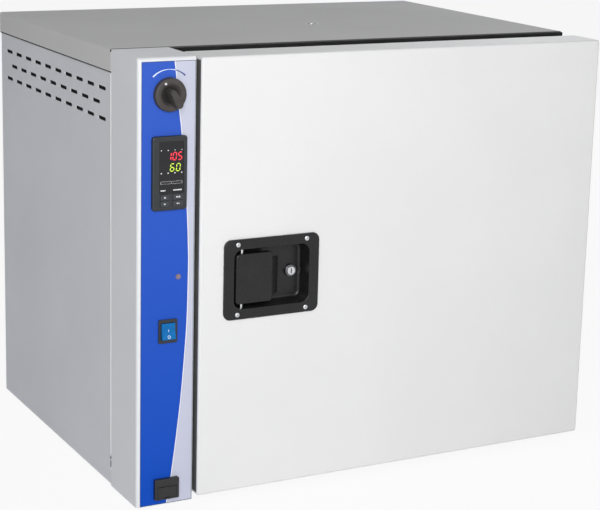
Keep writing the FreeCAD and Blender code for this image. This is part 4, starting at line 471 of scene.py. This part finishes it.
printed_film = finish("printed_film", (0.8, 0.8, 0.8), (0.8, 0.8, 0.8), 0.5, spread=0.05,
                      grain=1500.0, bump=0.000006, specular=0.2)
tree = printed_film.node_tree
shader = tree.nodes["Principled BSDF"]
place = tree.nodes.new("ShaderNodeTexCoord")
split = tree.nodes.new("ShaderNodeSeparateXYZ")
tree.links.new(place.outputs["Object"], split.inputs["Vector"])
film_x, film_z = split.outputs["X"], split.outputs["Z"]
level = tree.nodes.new("ShaderNodeMapRange")
level.inputs["From Min"].default_value = 0.003
level.inputs["From Max"].default_value = 0.599
tree.links.new(film_z, level.inputs["Value"])
sweep = tree.nodes.new("ShaderNodeFloatCurve")
curve = sweep.mapping.curves[0]
edge_points = ((0.0, 0.52), (0.066, 0.606), (0.089, 0.631), (0.169, 0.708), (0.237, 0.765),
               (0.34, 0.829), (0.419, 0.866), (0.498, 0.88), (0.576, 0.881), (0.832, 0.751),
               (0.895, 0.696), (0.96, 0.647), (1.0, 0.61))
curve.points[0].location = edge_points[0]
curve.points[1].location = edge_points[-1]
for point in edge_points[1:-1]:
    curve.points.new(*point)
sweep.mapping.update()
tree.links.new(level.outputs["Result"], sweep.inputs["Value"])
edge_x = calc(tree, "MULTIPLY_ADD", sweep.outputs["Value"], panel_width, panel_left)
beyond = calc(tree, "SUBTRACT", film_x, edge_x)
grey_side = calc(tree, "GREATER_THAN", beyond, 0.0)
line_mask = calc(tree, "MULTIPLY", grey_side, calc(tree, "LESS_THAN", beyond, line_width))
blue = mixed(tree, level.outputs["Result"], (0.0, 0.068, 0.49), (0.035, 0.105, 0.53))
field = mixed(tree, grey_side, blue, (0.56, 0.58, 0.7))
lined = mixed(tree, line_mask, field, (0.86, 0.87, 0.95))
arc_x = calc(tree, "SUBTRACT", film_x, knob_x)
arc_z = calc(tree, "SUBTRACT", film_z, knob_z - 0.0002)
arc_radius = calc(tree, "SQRT", calc(tree, "MULTIPLY_ADD", arc_x, arc_x,
                                     calc(tree, "MULTIPLY", arc_z, arc_z)))
arc_angle = calc(tree, "ABSOLUTE", calc(tree, "ARCTAN2", arc_x, arc_z))
half_stroke = calc(tree, "MULTIPLY_ADD", arc_angle, 0.0009, 0.0003)
on_ring = calc(tree, "LESS_THAN",
               calc(tree, "ABSOLUTE", calc(tree, "SUBTRACT", arc_radius, arc_at)), half_stroke)
arc_mask = calc(tree, "MULTIPLY", on_ring, calc(tree, "LESS_THAN", arc_angle, arc_half_angle))
arc_colour = mixed(tree, grey_side, (0.72, 0.8, 0.95), (0.05, 0.08, 0.26))
marked = mixed(tree, arc_mask, lined, arc_colour)
from_side = calc(tree, "MINIMUM", calc(tree, "SUBTRACT", film_x, overlay_low.x),
                 calc(tree, "SUBTRACT", overlay_high.x, film_x))
from_end = calc(tree, "MINIMUM", calc(tree, "SUBTRACT", film_z, overlay_low.z),
                calc(tree, "SUBTRACT", overlay_high.z, film_z))
rim = calc(tree, "LESS_THAN", calc(tree, "MINIMUM", from_side, from_end), outline_width)
printed = mixed(tree, calc(tree, "MULTIPLY", rim, 0.75), marked, (0.05, 0.07, 0.12))
for link in list(shader.inputs["Base Color"].links):
    tree.links.remove(link)
tree.links.new(printed, shader.inputs["Base Color"])
dress(printed_film, "panel_overlay")


# Air control: a moulded dark knob with a raised pointer bar and a white index dot, on
# a brass bushing; its shaft turns the flap plate in the duct.
knob_plastic = finish("knob_plastic", (0.07, 0.062, 0.06), (0.05, 0.045, 0.043), 0.5,
                      patch=70.0, grain=1400.0, bump=0.00003, specular=0.3)
dress(knob_plastic, "air_knob")
brass = finish("turned_brass", (0.74, 0.56, 0.25), (0.62, 0.46, 0.2), 0.28, spread=0.1,
               patch=120.0, grain=1800.0, bump=0.000006, metallic=1.0)
dress(brass, "knob_bushing")

white_print = finish("white_print", (0.85, 0.86, 0.87), (0.78, 0.79, 0.8), 0.5,
                     patch=400.0, grain=3000.0, bump=0.000002)


def flat_form(shape, outline, front, back, centre=(0.0, 0.0), angle=0.0):
    """A thin plate along Y: its outline in X and Z, turned about +Y and moved."""
    cos, sin = math.cos(angle), math.sin(angle)
    spots = [(centre[0] + x * cos + z * sin, centre[1] - x * sin + z * cos) for x, z in outline]
    near = [shape.verts.new((x, front, z)) for x, z in spots]
    far = [shape.verts.new((x, back, z)) for x, z in spots]
    shape.faces.new(near)
    shape.faces.new(list(reversed(far)))
    for step in range(len(spots)):
        after = (step + 1) % len(spots)
        shape.faces.new((near[step], far[step], far[after], near[after]))


def disc(radius, steps=24):
    """The outline of a round spot."""
    return [(radius * math.cos(2 * math.pi * step / steps),
             radius * math.sin(2 * math.pi * step / steps)) for step in range(steps)]


air_low, air_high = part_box("air_knob")
pointer = math.radians(-28.0)
skirt_back = air_high.y
skirt_height = 0.0075
skirt_front = skirt_back - skirt_height
bowl_depth = 0.0042
dot_reach, dot_radius = 0.0165, 0.0015


def on_knob(point):
    """A point of the turned skirt, its height running towards the front."""
    return (knob_x + point[0], skirt_back - point[2], knob_z + point[1])


shape = bmesh.new()
turned(shape, [(0.0031, 0.0), (0.0218, 0.0), (0.022, 0.0006), (0.0216, 0.0052),
               (0.0208, 0.0068), (0.0194, skirt_height), (0.0144, skirt_height), (0.0136, 0.0072),
               (0.0114, 0.0042), (0.0104, 0.0038), (0.0, 0.0038)], on_knob, 96)
knob_skirt = new_piece("knob_skirt", shape, knob_plastic, "knob")
# Painted shade: a near black disc, much darker than the knob's plastic, lies in the knob's hollow
# for the shade of the recess round the grip.
shape = bmesh.new()
flat_form(shape, disc(0.0109, 48), skirt_front + 0.0034, skirt_front + bowl_depth,
          (knob_x, knob_z))
bowl_shade_black = finish("knob_bowl_shade", (0.008, 0.008, 0.009), (0.015, 0.013, 0.013), 0.6,
                   patch=150.0, grain=1400.0, bump=0.00003, specular=0.2)
knob_bowl_shade = new_piece("knob_bowl_shade", shape, bowl_shade_black, "knob")
shape = bmesh.new()
grip = []
for centre_z, radius, start in ((0.0056, 0.0036, 0.0), (-0.0118, 0.0052, math.pi)):
    grip += [(radius * math.cos(start + math.pi * step / 12),
              centre_z + radius * math.sin(start + math.pi * step / 12)) for step in range(13)]
flat_form(shape, grip, air_low.y, skirt_front + bowl_depth, (knob_x, knob_z), pointer)
rims = [edge for edge in shape.edges if all(v.co.y < air_low.y + 1e-5 for v in edge.verts)]
bmesh.ops.bevel(shape, geom=rims, offset=0.0012, segments=3, affect="EDGES")
knob_grip = new_piece("knob_grip", shape, knob_plastic, "knob")
shape = bmesh.new()
dot_spot = (knob_x + dot_reach * math.sin(pointer), knob_z + dot_reach * math.cos(pointer))
flat_form(shape, disc(dot_radius), skirt_front - 0.0001, skirt_front + 0.0008, dot_spot)
dot = new_piece("knob_dot", shape, white_print, "knob")
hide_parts("air_knob")


# Panel controller: a moulded case and bezel of the 48 x 96 mm kind, clipped into the
# control box, with a tinted window, two rows of lit digits and printed marks.
bezel_plastic = finish("bezel_plastic", (0.02, 0.024, 0.028), (0.014, 0.017, 0.02), 0.42,
                       patch=60.0, grain=1300.0, bump=0.00004)
dress(bezel_plastic, "controller_case")
dark_window = finish("dark_window", (0.002, 0.002, 0.004), (0.004, 0.004, 0.007), 0.18,
                     spread=0.03, patch=30.0, grain=400.0, bump=0.000001)
dress(dark_window, "controller_window")

glass_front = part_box("controller_window")[0].y
print_front, print_back = glass_front - 0.00006, glass_front + 0.0001
segments = {"a": ((0.1, 1.0), (0.9, 1.0)), "b": ((1.0, 0.95), (1.0, 0.55)),
            "c": ((1.0, 0.45), (1.0, 0.05)), "d": ((0.1, 0.0), (0.9, 0.0)),
            "e": ((0.0, 0.45), (0.0, 0.05)), "f": ((0.0, 0.95), (0.0, 0.55)),
            "g": ((0.1, 0.5), (0.9, 0.5))}
lit_segments = {"0": "abcdef", "1": "bc", "5": "afgcd", "6": "afgedc"}


def lit_digit(shape, digit, low, width, height, stroke):
    """One seven segment digit, leaning a little, on the window's face."""
    lean = 0.12
    for letter in lit_segments[digit]:
        (x1, z1), (x2, z2) = segments[letter]
        start = Vector((low[0] + x1 * width + z1 * height * lean, low[1] + z1 * height))
        end = Vector((low[0] + x2 * width + z2 * height * lean, low[1] + z2 * height))
        along = (end - start).normalized()
        side = Vector((-along.y, along.x)) * stroke / 2
        tip = along * stroke / 2
        corners = [start, start + tip + side, end - tip + side, end,
                   end - tip - side, start + tip - side]
        flat_form(shape, [(point.x, point.y) for point in corners], print_front, print_back)


def lamp_colour(name, colour, strength):
    """A lit segment: its colour varies a little inside the light."""
    material, tree, shader = new_material(name)
    place = tree.nodes.new("ShaderNodeTexCoord")
    cloud = tree.nodes.new("ShaderNodeTexNoise")
    cloud.inputs["Scale"].default_value = 700.0
    tree.links.new(place.outputs["Object"], cloud.inputs["Vector"])
    light = mixed(tree, cloud.outputs["Fac"], colour, tuple(part * 0.8 for part in colour))
    tree.links.new(light, shader.inputs["Base Color"])
    tree.links.new(light, shader.inputs["Emission Color"])
    shader.inputs["Emission Strength"].default_value = strength
    shader.inputs["Roughness"].default_value = 0.4
    return material


shape = bmesh.new()
for number, digit in enumerate("105"):
    lit_digit(shape, digit, (panel_left + 0.0385 + 0.0074 * number, 0.4683), 0.0045, 0.0095,
              0.0013)
upper_digits = new_piece("upper_digits", shape, lamp_colour("red_light", (0.9, 0.03, 0.06), 1.1),
                         "cabinet")
shape = bmesh.new()
for number, digit in enumerate("60"):
    lit_digit(shape, digit, (panel_left + 0.0424 + 0.0083 * number, 0.4539), 0.0048, 0.0094,
              0.0011)
lower_digits = new_piece("lower_digits", shape,
                         lamp_colour("green_light", (0.55, 0.75, 0.06), 0.9), "cabinet")
shape = bmesh.new()
for row_z, spot in ((0.481, 0.0007), (0.4516, 0.0009)):
    for number in range(4):
        centre = (panel_left + 0.0303 + 0.0094 * number, row_z)
        flat_form(shape, disc(spot, 10), print_front, print_back, centre)
for number in range(21):
    tall = 0.0036 if number % 10 == 0 else 0.0009
    centre = (panel_left + 0.0296 + 0.00146 * number, 0.4392)
    for shift in ((-0.0016, 0.0016) if tall < 0.002 else (0.0,)):
        flat_form(shape, [(-0.00016, -tall / 2), (0.00016, -tall / 2), (0.00016, tall / 2),
                          (-0.00016, tall / 2)], print_front, print_back,
                  (centre[0], centre[1] + shift))
for start, end in ((0.0295, 0.0362), (0.0468, 0.0588)):
    flat_form(shape, [(start, -0.0007), (end, -0.0007), (end, 0.0007), (start, 0.0007)],
              print_front, print_back, (panel_left, 0.4292))
marks = new_piece("display_marks", shape, white_print, "cabinet")

key_rubber = finish("key_rubber", (0.035, 0.04, 0.048), (0.028, 0.032, 0.038), 0.6,
                    patch=90.0, grain=1600.0, bump=0.00002)
dress(key_rubber, "key_up", "key_down", "key_set", "key_enter")
key_symbols = {
    "key_up": [[(-0.0016, -0.0008), (0.0016, -0.0008), (0.0, 0.0012)]],
    "key_down": [[(-0.0016, 0.0008), (0.0, -0.0012), (0.0016, 0.0008)]],
    "key_set": [[(-0.0026, -0.0009), (-0.0008, -0.0009), (-0.0008, 0.0009), (-0.0026, 0.0009)],
                [(0.0004, -0.0009), (0.0028, -0.0009), (0.0028, 0.0009), (0.0004, 0.0009)]],
    "key_enter": [[(-0.0022, 0.0), (-0.0008, -0.0013), (-0.0008, -0.0004), (0.0022, -0.0004),
                   (0.0022, 0.0004), (-0.0008, 0.0004), (-0.0008, 0.0013)]],
}
for name, outlines in key_symbols.items():
    low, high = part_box(name)
    shape = bmesh.new()
    for outline in outlines:
        flat_form(shape, outline, low.y - 0.00005, low.y + 0.0001,
                  ((low.x + high.x) / 2, (low.z + high.z) / 2))
    symbol = new_piece(name + "_symbol", shape, white_print, name[4:] + "_key")


# Alarm lamp: a small domed lens of tinted plastic, dull while the lamp is off, pushed
# through the panel and held by its ring.
lamp_glass = finish("lamp_lens", (0.11, 0.1, 0.16), (0.24, 0.17, 0.2), 0.3, patch=400.0,
                    grain=900.0, bump=0.00001, coat=0.6)
dress(lamp_glass, "alarm_lamp")


# Mains switch: a black frame snapped into the panel, and a blue rocker that tips on its
# own pins, with the marks I and O moulded in a pale plastic.
dress(bezel_plastic, "switch_housing")
rocker_blue = finish("rocker_blue", (0.0, 0.11, 0.36), (0.002, 0.15, 0.44), 0.5, spread=0.05,
                     patch=120.0, grain=600.0, bump=0.000004, coat=0.05, specular=0.2)
dress(rocker_blue, "switch_rocker")
rocker_print = finish("rocker_print", (0.7, 0.82, 0.92), (0.6, 0.74, 0.86), 0.5,
                      patch=300.0, grain=900.0, bump=0.000004)
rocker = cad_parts["switch_rocker"].data
rocker_low, rocker_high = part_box("switch_rocker")
rocker_x = (rocker_low.x + rocker_high.x) / 2
rocker_tall = rocker_high.z - rocker_low.z
face = BVHTree.FromPolygons([vert.co for vert in rocker.vertices],
                            [list(part.vertices) for part in rocker.polygons])


def laid_on_face(shape, x, z, lift):
    """A corner of a mark, a little in front of the rocker's tipped face."""
    met = face.ray_cast(Vector((x, rocker_low.y - 0.01, z)), Vector((0.0, 1.0, 0.0)))[0]
    return shape.verts.new((x, met.y - lift, z))


mark_proud, mark_sunk = 0.00008, -0.0002
shape = bmesh.new()
bar = [(-0.0004, -0.0017), (0.0004, -0.0017), (0.0004, 0.0017), (-0.0004, 0.0017)]
for share, outline in ((0.56, bar), (0.2, disc(0.0021))):
    up = rocker_low.z + rocker_tall * share
    fronts = [laid_on_face(shape, rocker_x + x, up + z, mark_proud) for x, z in outline]
    backs = [laid_on_face(shape, rocker_x + x, up + z, mark_sunk) for x, z in outline]
    if outline is bar:
        walls = ((fronts, backs),)
        shape.faces.new(fronts)
        shape.faces.new(backs)
    else:
        small = [(x * 0.66, z * 0.66) for x, z in outline]
        inner_fronts = [laid_on_face(shape, rocker_x + x, up + z, mark_proud) for x, z in small]
        inner_backs = [laid_on_face(shape, rocker_x + x, up + z, mark_sunk) for x, z in small]
        walls = ((fronts, backs), (fronts, inner_fronts), (backs, inner_backs),
                 (inner_fronts, inner_backs))
    for step in range(len(outline)):
        after = (step + 1) % len(outline)
        for one, other in walls:
            shape.faces.new((one[step], one[after], other[after], other[step]))
marks = new_piece("rocker_marks", shape, rocker_print, "rocker")


# Service port: a black moulded frame with a lifting flap low on the control box, and
# the metal socket behind it.
port_plastic = finish("port_plastic", (0.015, 0.015, 0.016), (0.01, 0.01, 0.011), 0.42,
                      patch=60.0, grain=1300.0, bump=0.00003)
dress(port_plastic, "port_housing", "port_flap")
dress(bright_steel, "service_socket")


# Mains inlet and relay: a black inlet socket screwed to the rear panel, and a relay on a
# finned block of extruded aluminium inside; the cast fan wheel has the same bare metal.
dress(bezel_plastic, "mains_inlet")
bare_aluminium = finish("bare_aluminium", (0.66, 0.67, 0.68), (0.56, 0.57, 0.58), 0.38,
                        spread=0.1, patch=60.0, grain=260.0, stretch=(1, 1, 12),
                        bump=0.000008, metallic=1.0)
dress(bare_aluminium, "power_relay", "fan_impeller")


# Chamber: brushed stainless sheet, folded and welded, with its baffle, racks and vent
# tube; the collar round its mouth is a darker, duller steel, painted shade for the gap
# behind the door, and the shelves are welded bright wire.
brushed_steel = finish("brushed_steel", (0.6, 0.595, 0.585), (0.5, 0.495, 0.485), 0.34,
                       spread=0.16, patch=9.0, grain=90.0, stretch=(24, 1, 1), bump=0.000012,
                       metallic=1.0)
dress(brushed_steel, "chamber", "fan_baffle", "shelf_rack_left", "shelf_rack_right",
      "vent_tube", "chamber_probe", "air_flap", "door_liner")
# Painted shade: the collar's steel is darkened for the shade in the gap between the door and the
# cabinet.
collar_shade_steel = finish("collar_shade_steel", (0.3, 0.3, 0.295), (0.22, 0.22, 0.215), 0.55,
                      spread=0.16, patch=9.0, grain=90.0, stretch=(24, 1, 1), bump=0.000012,
                      metallic=0.8)
dress(collar_shade_steel, "front_frame")
shelf_wire = finish("shelf_wire", (0.72, 0.73, 0.74), (0.62, 0.63, 0.64), 0.2, spread=0.1,
                    patch=60.0, grain=900.0, bump=0.000006, metallic=1.0)
dress(shelf_wire, "lower_shelf", "upper_shelf")


# Fan motor and ring heater: a motor case of black painted steel on the partition, and a
# bent steel tube round the fan wheel, brown from the heat.
motor_paint = finish("motor_paint", (0.03, 0.03, 0.032), (0.045, 0.045, 0.048), 0.45,
                     patch=40.0, grain=900.0, bump=0.00002)
dress(motor_paint, "fan_motor")
heater_sheath = finish("heater_sheath", (0.12, 0.1, 0.09), (0.19, 0.14, 0.11), 0.5,
                       spread=0.2, patch=80.0, grain=700.0, bump=0.00001, metallic=1.0)
dress(heater_sheath, "ring_heater")


# Insulation: slabs of mineral wool, matt and fibrous, pressed in between the chamber and
# the cabinet and into the door.
mineral_wool = finish("mineral_wool", (0.5, 0.44, 0.26), (0.38, 0.33, 0.2), 0.95,
                      patch=30.0, grain=260.0, stretch=(1, 1, 5), bump=0.0006, specular=0.1)
dress(mineral_wool, "insulation_sleeve", "insulation_rear", "door_insulation")


# Door: a deep folded skin of sheet steel with a smooth powder coat, near white, closed
# at its back by the steel liner.
door_paint = finish("door_paint", (0.82, 0.82, 0.82), (0.79, 0.79, 0.79), 0.5, grain=500.0,
                    bump=0.00005, specular=0.2)
dress(door_paint, "door_skin")


# Door edge shade: a thin dark grey strip along the latch side of the door, in the narrow
# gap to the control box, painting the shade of that gap.
gap_shade_grey = finish("gap_shade_grey", (0.13, 0.13, 0.13), (0.1, 0.1, 0.1), 0.7, patch=20.0,
                     grain=900.0, bump=0.00002, specular=0.2)
door_low, door_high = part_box("door_skin")
shape = bmesh.new()
bar_between(shape, (door_low.x - 0.0004, door_low.y + 0.0032, door_low.z + 0.004),
            (door_low.x + 0.0001, door_high.y - 0.004, door_high.z - 0.004), 0.0002)
door_gap_shade = new_piece("door_edge_shade", shape, gap_shade_grey, "door")


# Door gasket: an extruded seal of grey silicone with a ribbed foot and a soft bulb,
# joined to a ring with round corners and pressed on the door's back.
silicone = finish("silicone", (0.33, 0.33, 0.32), (0.27, 0.27, 0.265), 0.55, patch=20.0,
                  grain=500.0, bump=0.00002)
gasket_low, gasket_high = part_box("door_gasket")
gasket_width = 0.014
corner_round, corner_steps = 0.011, 6
seal_profile = [(-0.0065, 0.0), (0.0065, 0.0), (0.007, 0.0014), (0.0052, 0.0022),
                (0.0058, 0.005), (0.0042, 0.0078), (0.0014, 0.0092), (-0.0014, 0.0092),
                (-0.0042, 0.0078), (-0.0058, 0.005), (-0.0052, 0.0022), (-0.007, 0.0014)]
shape = bmesh.new()
mid_low = (gasket_low.x + gasket_width / 2, gasket_low.z + gasket_width / 2)
mid_high = (gasket_high.x - gasket_width / 2, gasket_high.z - gasket_width / 2)
corners = ((mid_high[0], mid_low[1], -90), (mid_high[0], mid_high[1], 0),
           (mid_low[0], mid_high[1], 90), (mid_low[0], mid_low[1], 180))
loops = []
for corner_x, corner_z, start in corners:
    centre_x = corner_x - math.copysign(corner_round, corner_x - (mid_low[0] + mid_high[0]) / 2)
    centre_z = corner_z - math.copysign(corner_round, corner_z - (mid_low[1] + mid_high[1]) / 2)
    for step in range(corner_steps + 1):
        angle = math.radians(start + 90 * step / corner_steps)
        out_x, out_z = math.cos(angle), math.sin(angle)
        loops.append([shape.verts.new((centre_x + out_x * (corner_round + across),
                                       gasket_low.y + along,
                                       centre_z + out_z * (corner_round + across)))
                      for across, along in seal_profile])
for number, loop in enumerate(loops):
    following = loops[(number + 1) % len(loops)]
    for step in range(len(loop)):
        after = (step + 1) % len(loop)
        shape.faces.new((loop[step], loop[after], following[after], following[step]))
gasket = new_piece("door_seal", shape, silicone, "door")
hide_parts("door_gasket")


# Flush handle: a pressed dish and a paddle of steel in black powder coat, with a paler,
# glossier coat on their bevelled edges as a painted highlight; four screws hold the dish,
# and a pin carries the paddle.
handle_coat = finish("handle_coat", (0.014, 0.014, 0.015), (0.009, 0.009, 0.01), 0.26,
                     patch=40.0, grain=1000.0, bump=0.00006, specular=0.35)
dress(handle_coat, "handle_dish", "handle_paddle")
edge_highlight_coat = finish("edge_highlight_coat", (0.13, 0.13, 0.135), (0.06, 0.06, 0.062), 0.3, patch=90.0,
                   grain=900.0, bump=0.00001, specular=0.7)
for name, width in (("handle_dish", 0.0006), ("handle_paddle", 0.0009)):
    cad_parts[name].data.materials.append(edge_highlight_coat)
    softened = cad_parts[name].modifiers.new("soft_edges", "BEVEL")
    softened.width = width
    softened.segments = 2
    softened.limit_method = "ANGLE"
    softened.angle_limit = math.radians(40)
    softened.harden_normals = True
    softened.material = 1
dress(bright_steel, "handle_screws", "paddle_pin", "latch_bolt", "strike_plate")
fixing_low, fixing_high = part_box("handle_screws")
fixing_radius, fixing_height = 0.0034, 0.0016
shape = bmesh.new()
for across in (fixing_low.x + fixing_radius, fixing_high.x - fixing_radius):
    for up in (fixing_low.z + fixing_radius, fixing_high.z - fixing_radius):
        screw_head(shape, (across, fixing_low.y + fixing_height, up), -1, fixing_radius,
                   fixing_height)
fixings = new_piece("handle_screw_heads", shape, bright_steel, "door")
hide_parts("handle_screws")


# Key lock: a nickel plated body held by a nut behind the dish, darkened as painted shade,
# and the bright plug with its key slot, which the key turns.
shaded_nickel = finish("shaded_nickel", (0.2, 0.2, 0.21), (0.1, 0.1, 0.11), 0.25, spread=0.14,
                     patch=300.0, grain=900.0, bump=0.000006, metallic=1.0)
dress(shaded_nickel, "lock_body")
dress(bright_steel, "lock_plug")


# Hinges: leaves of satin plated steel screwed to the frame and to the door, which turn
# on bright pins.
hinge_steel = finish("hinge_steel", (0.55, 0.55, 0.56), (0.46, 0.46, 0.47), 0.35,
                     spread=0.1, patch=50.0, grain=500.0, bump=0.00001, metallic=1.0)
dress(hinge_steel, "hinge_leaf_frame_upper", "hinge_leaf_frame_lower",
      "hinge_leaf_door_upper", "hinge_leaf_door_lower")
dress(bright_steel, "hinge_pins")
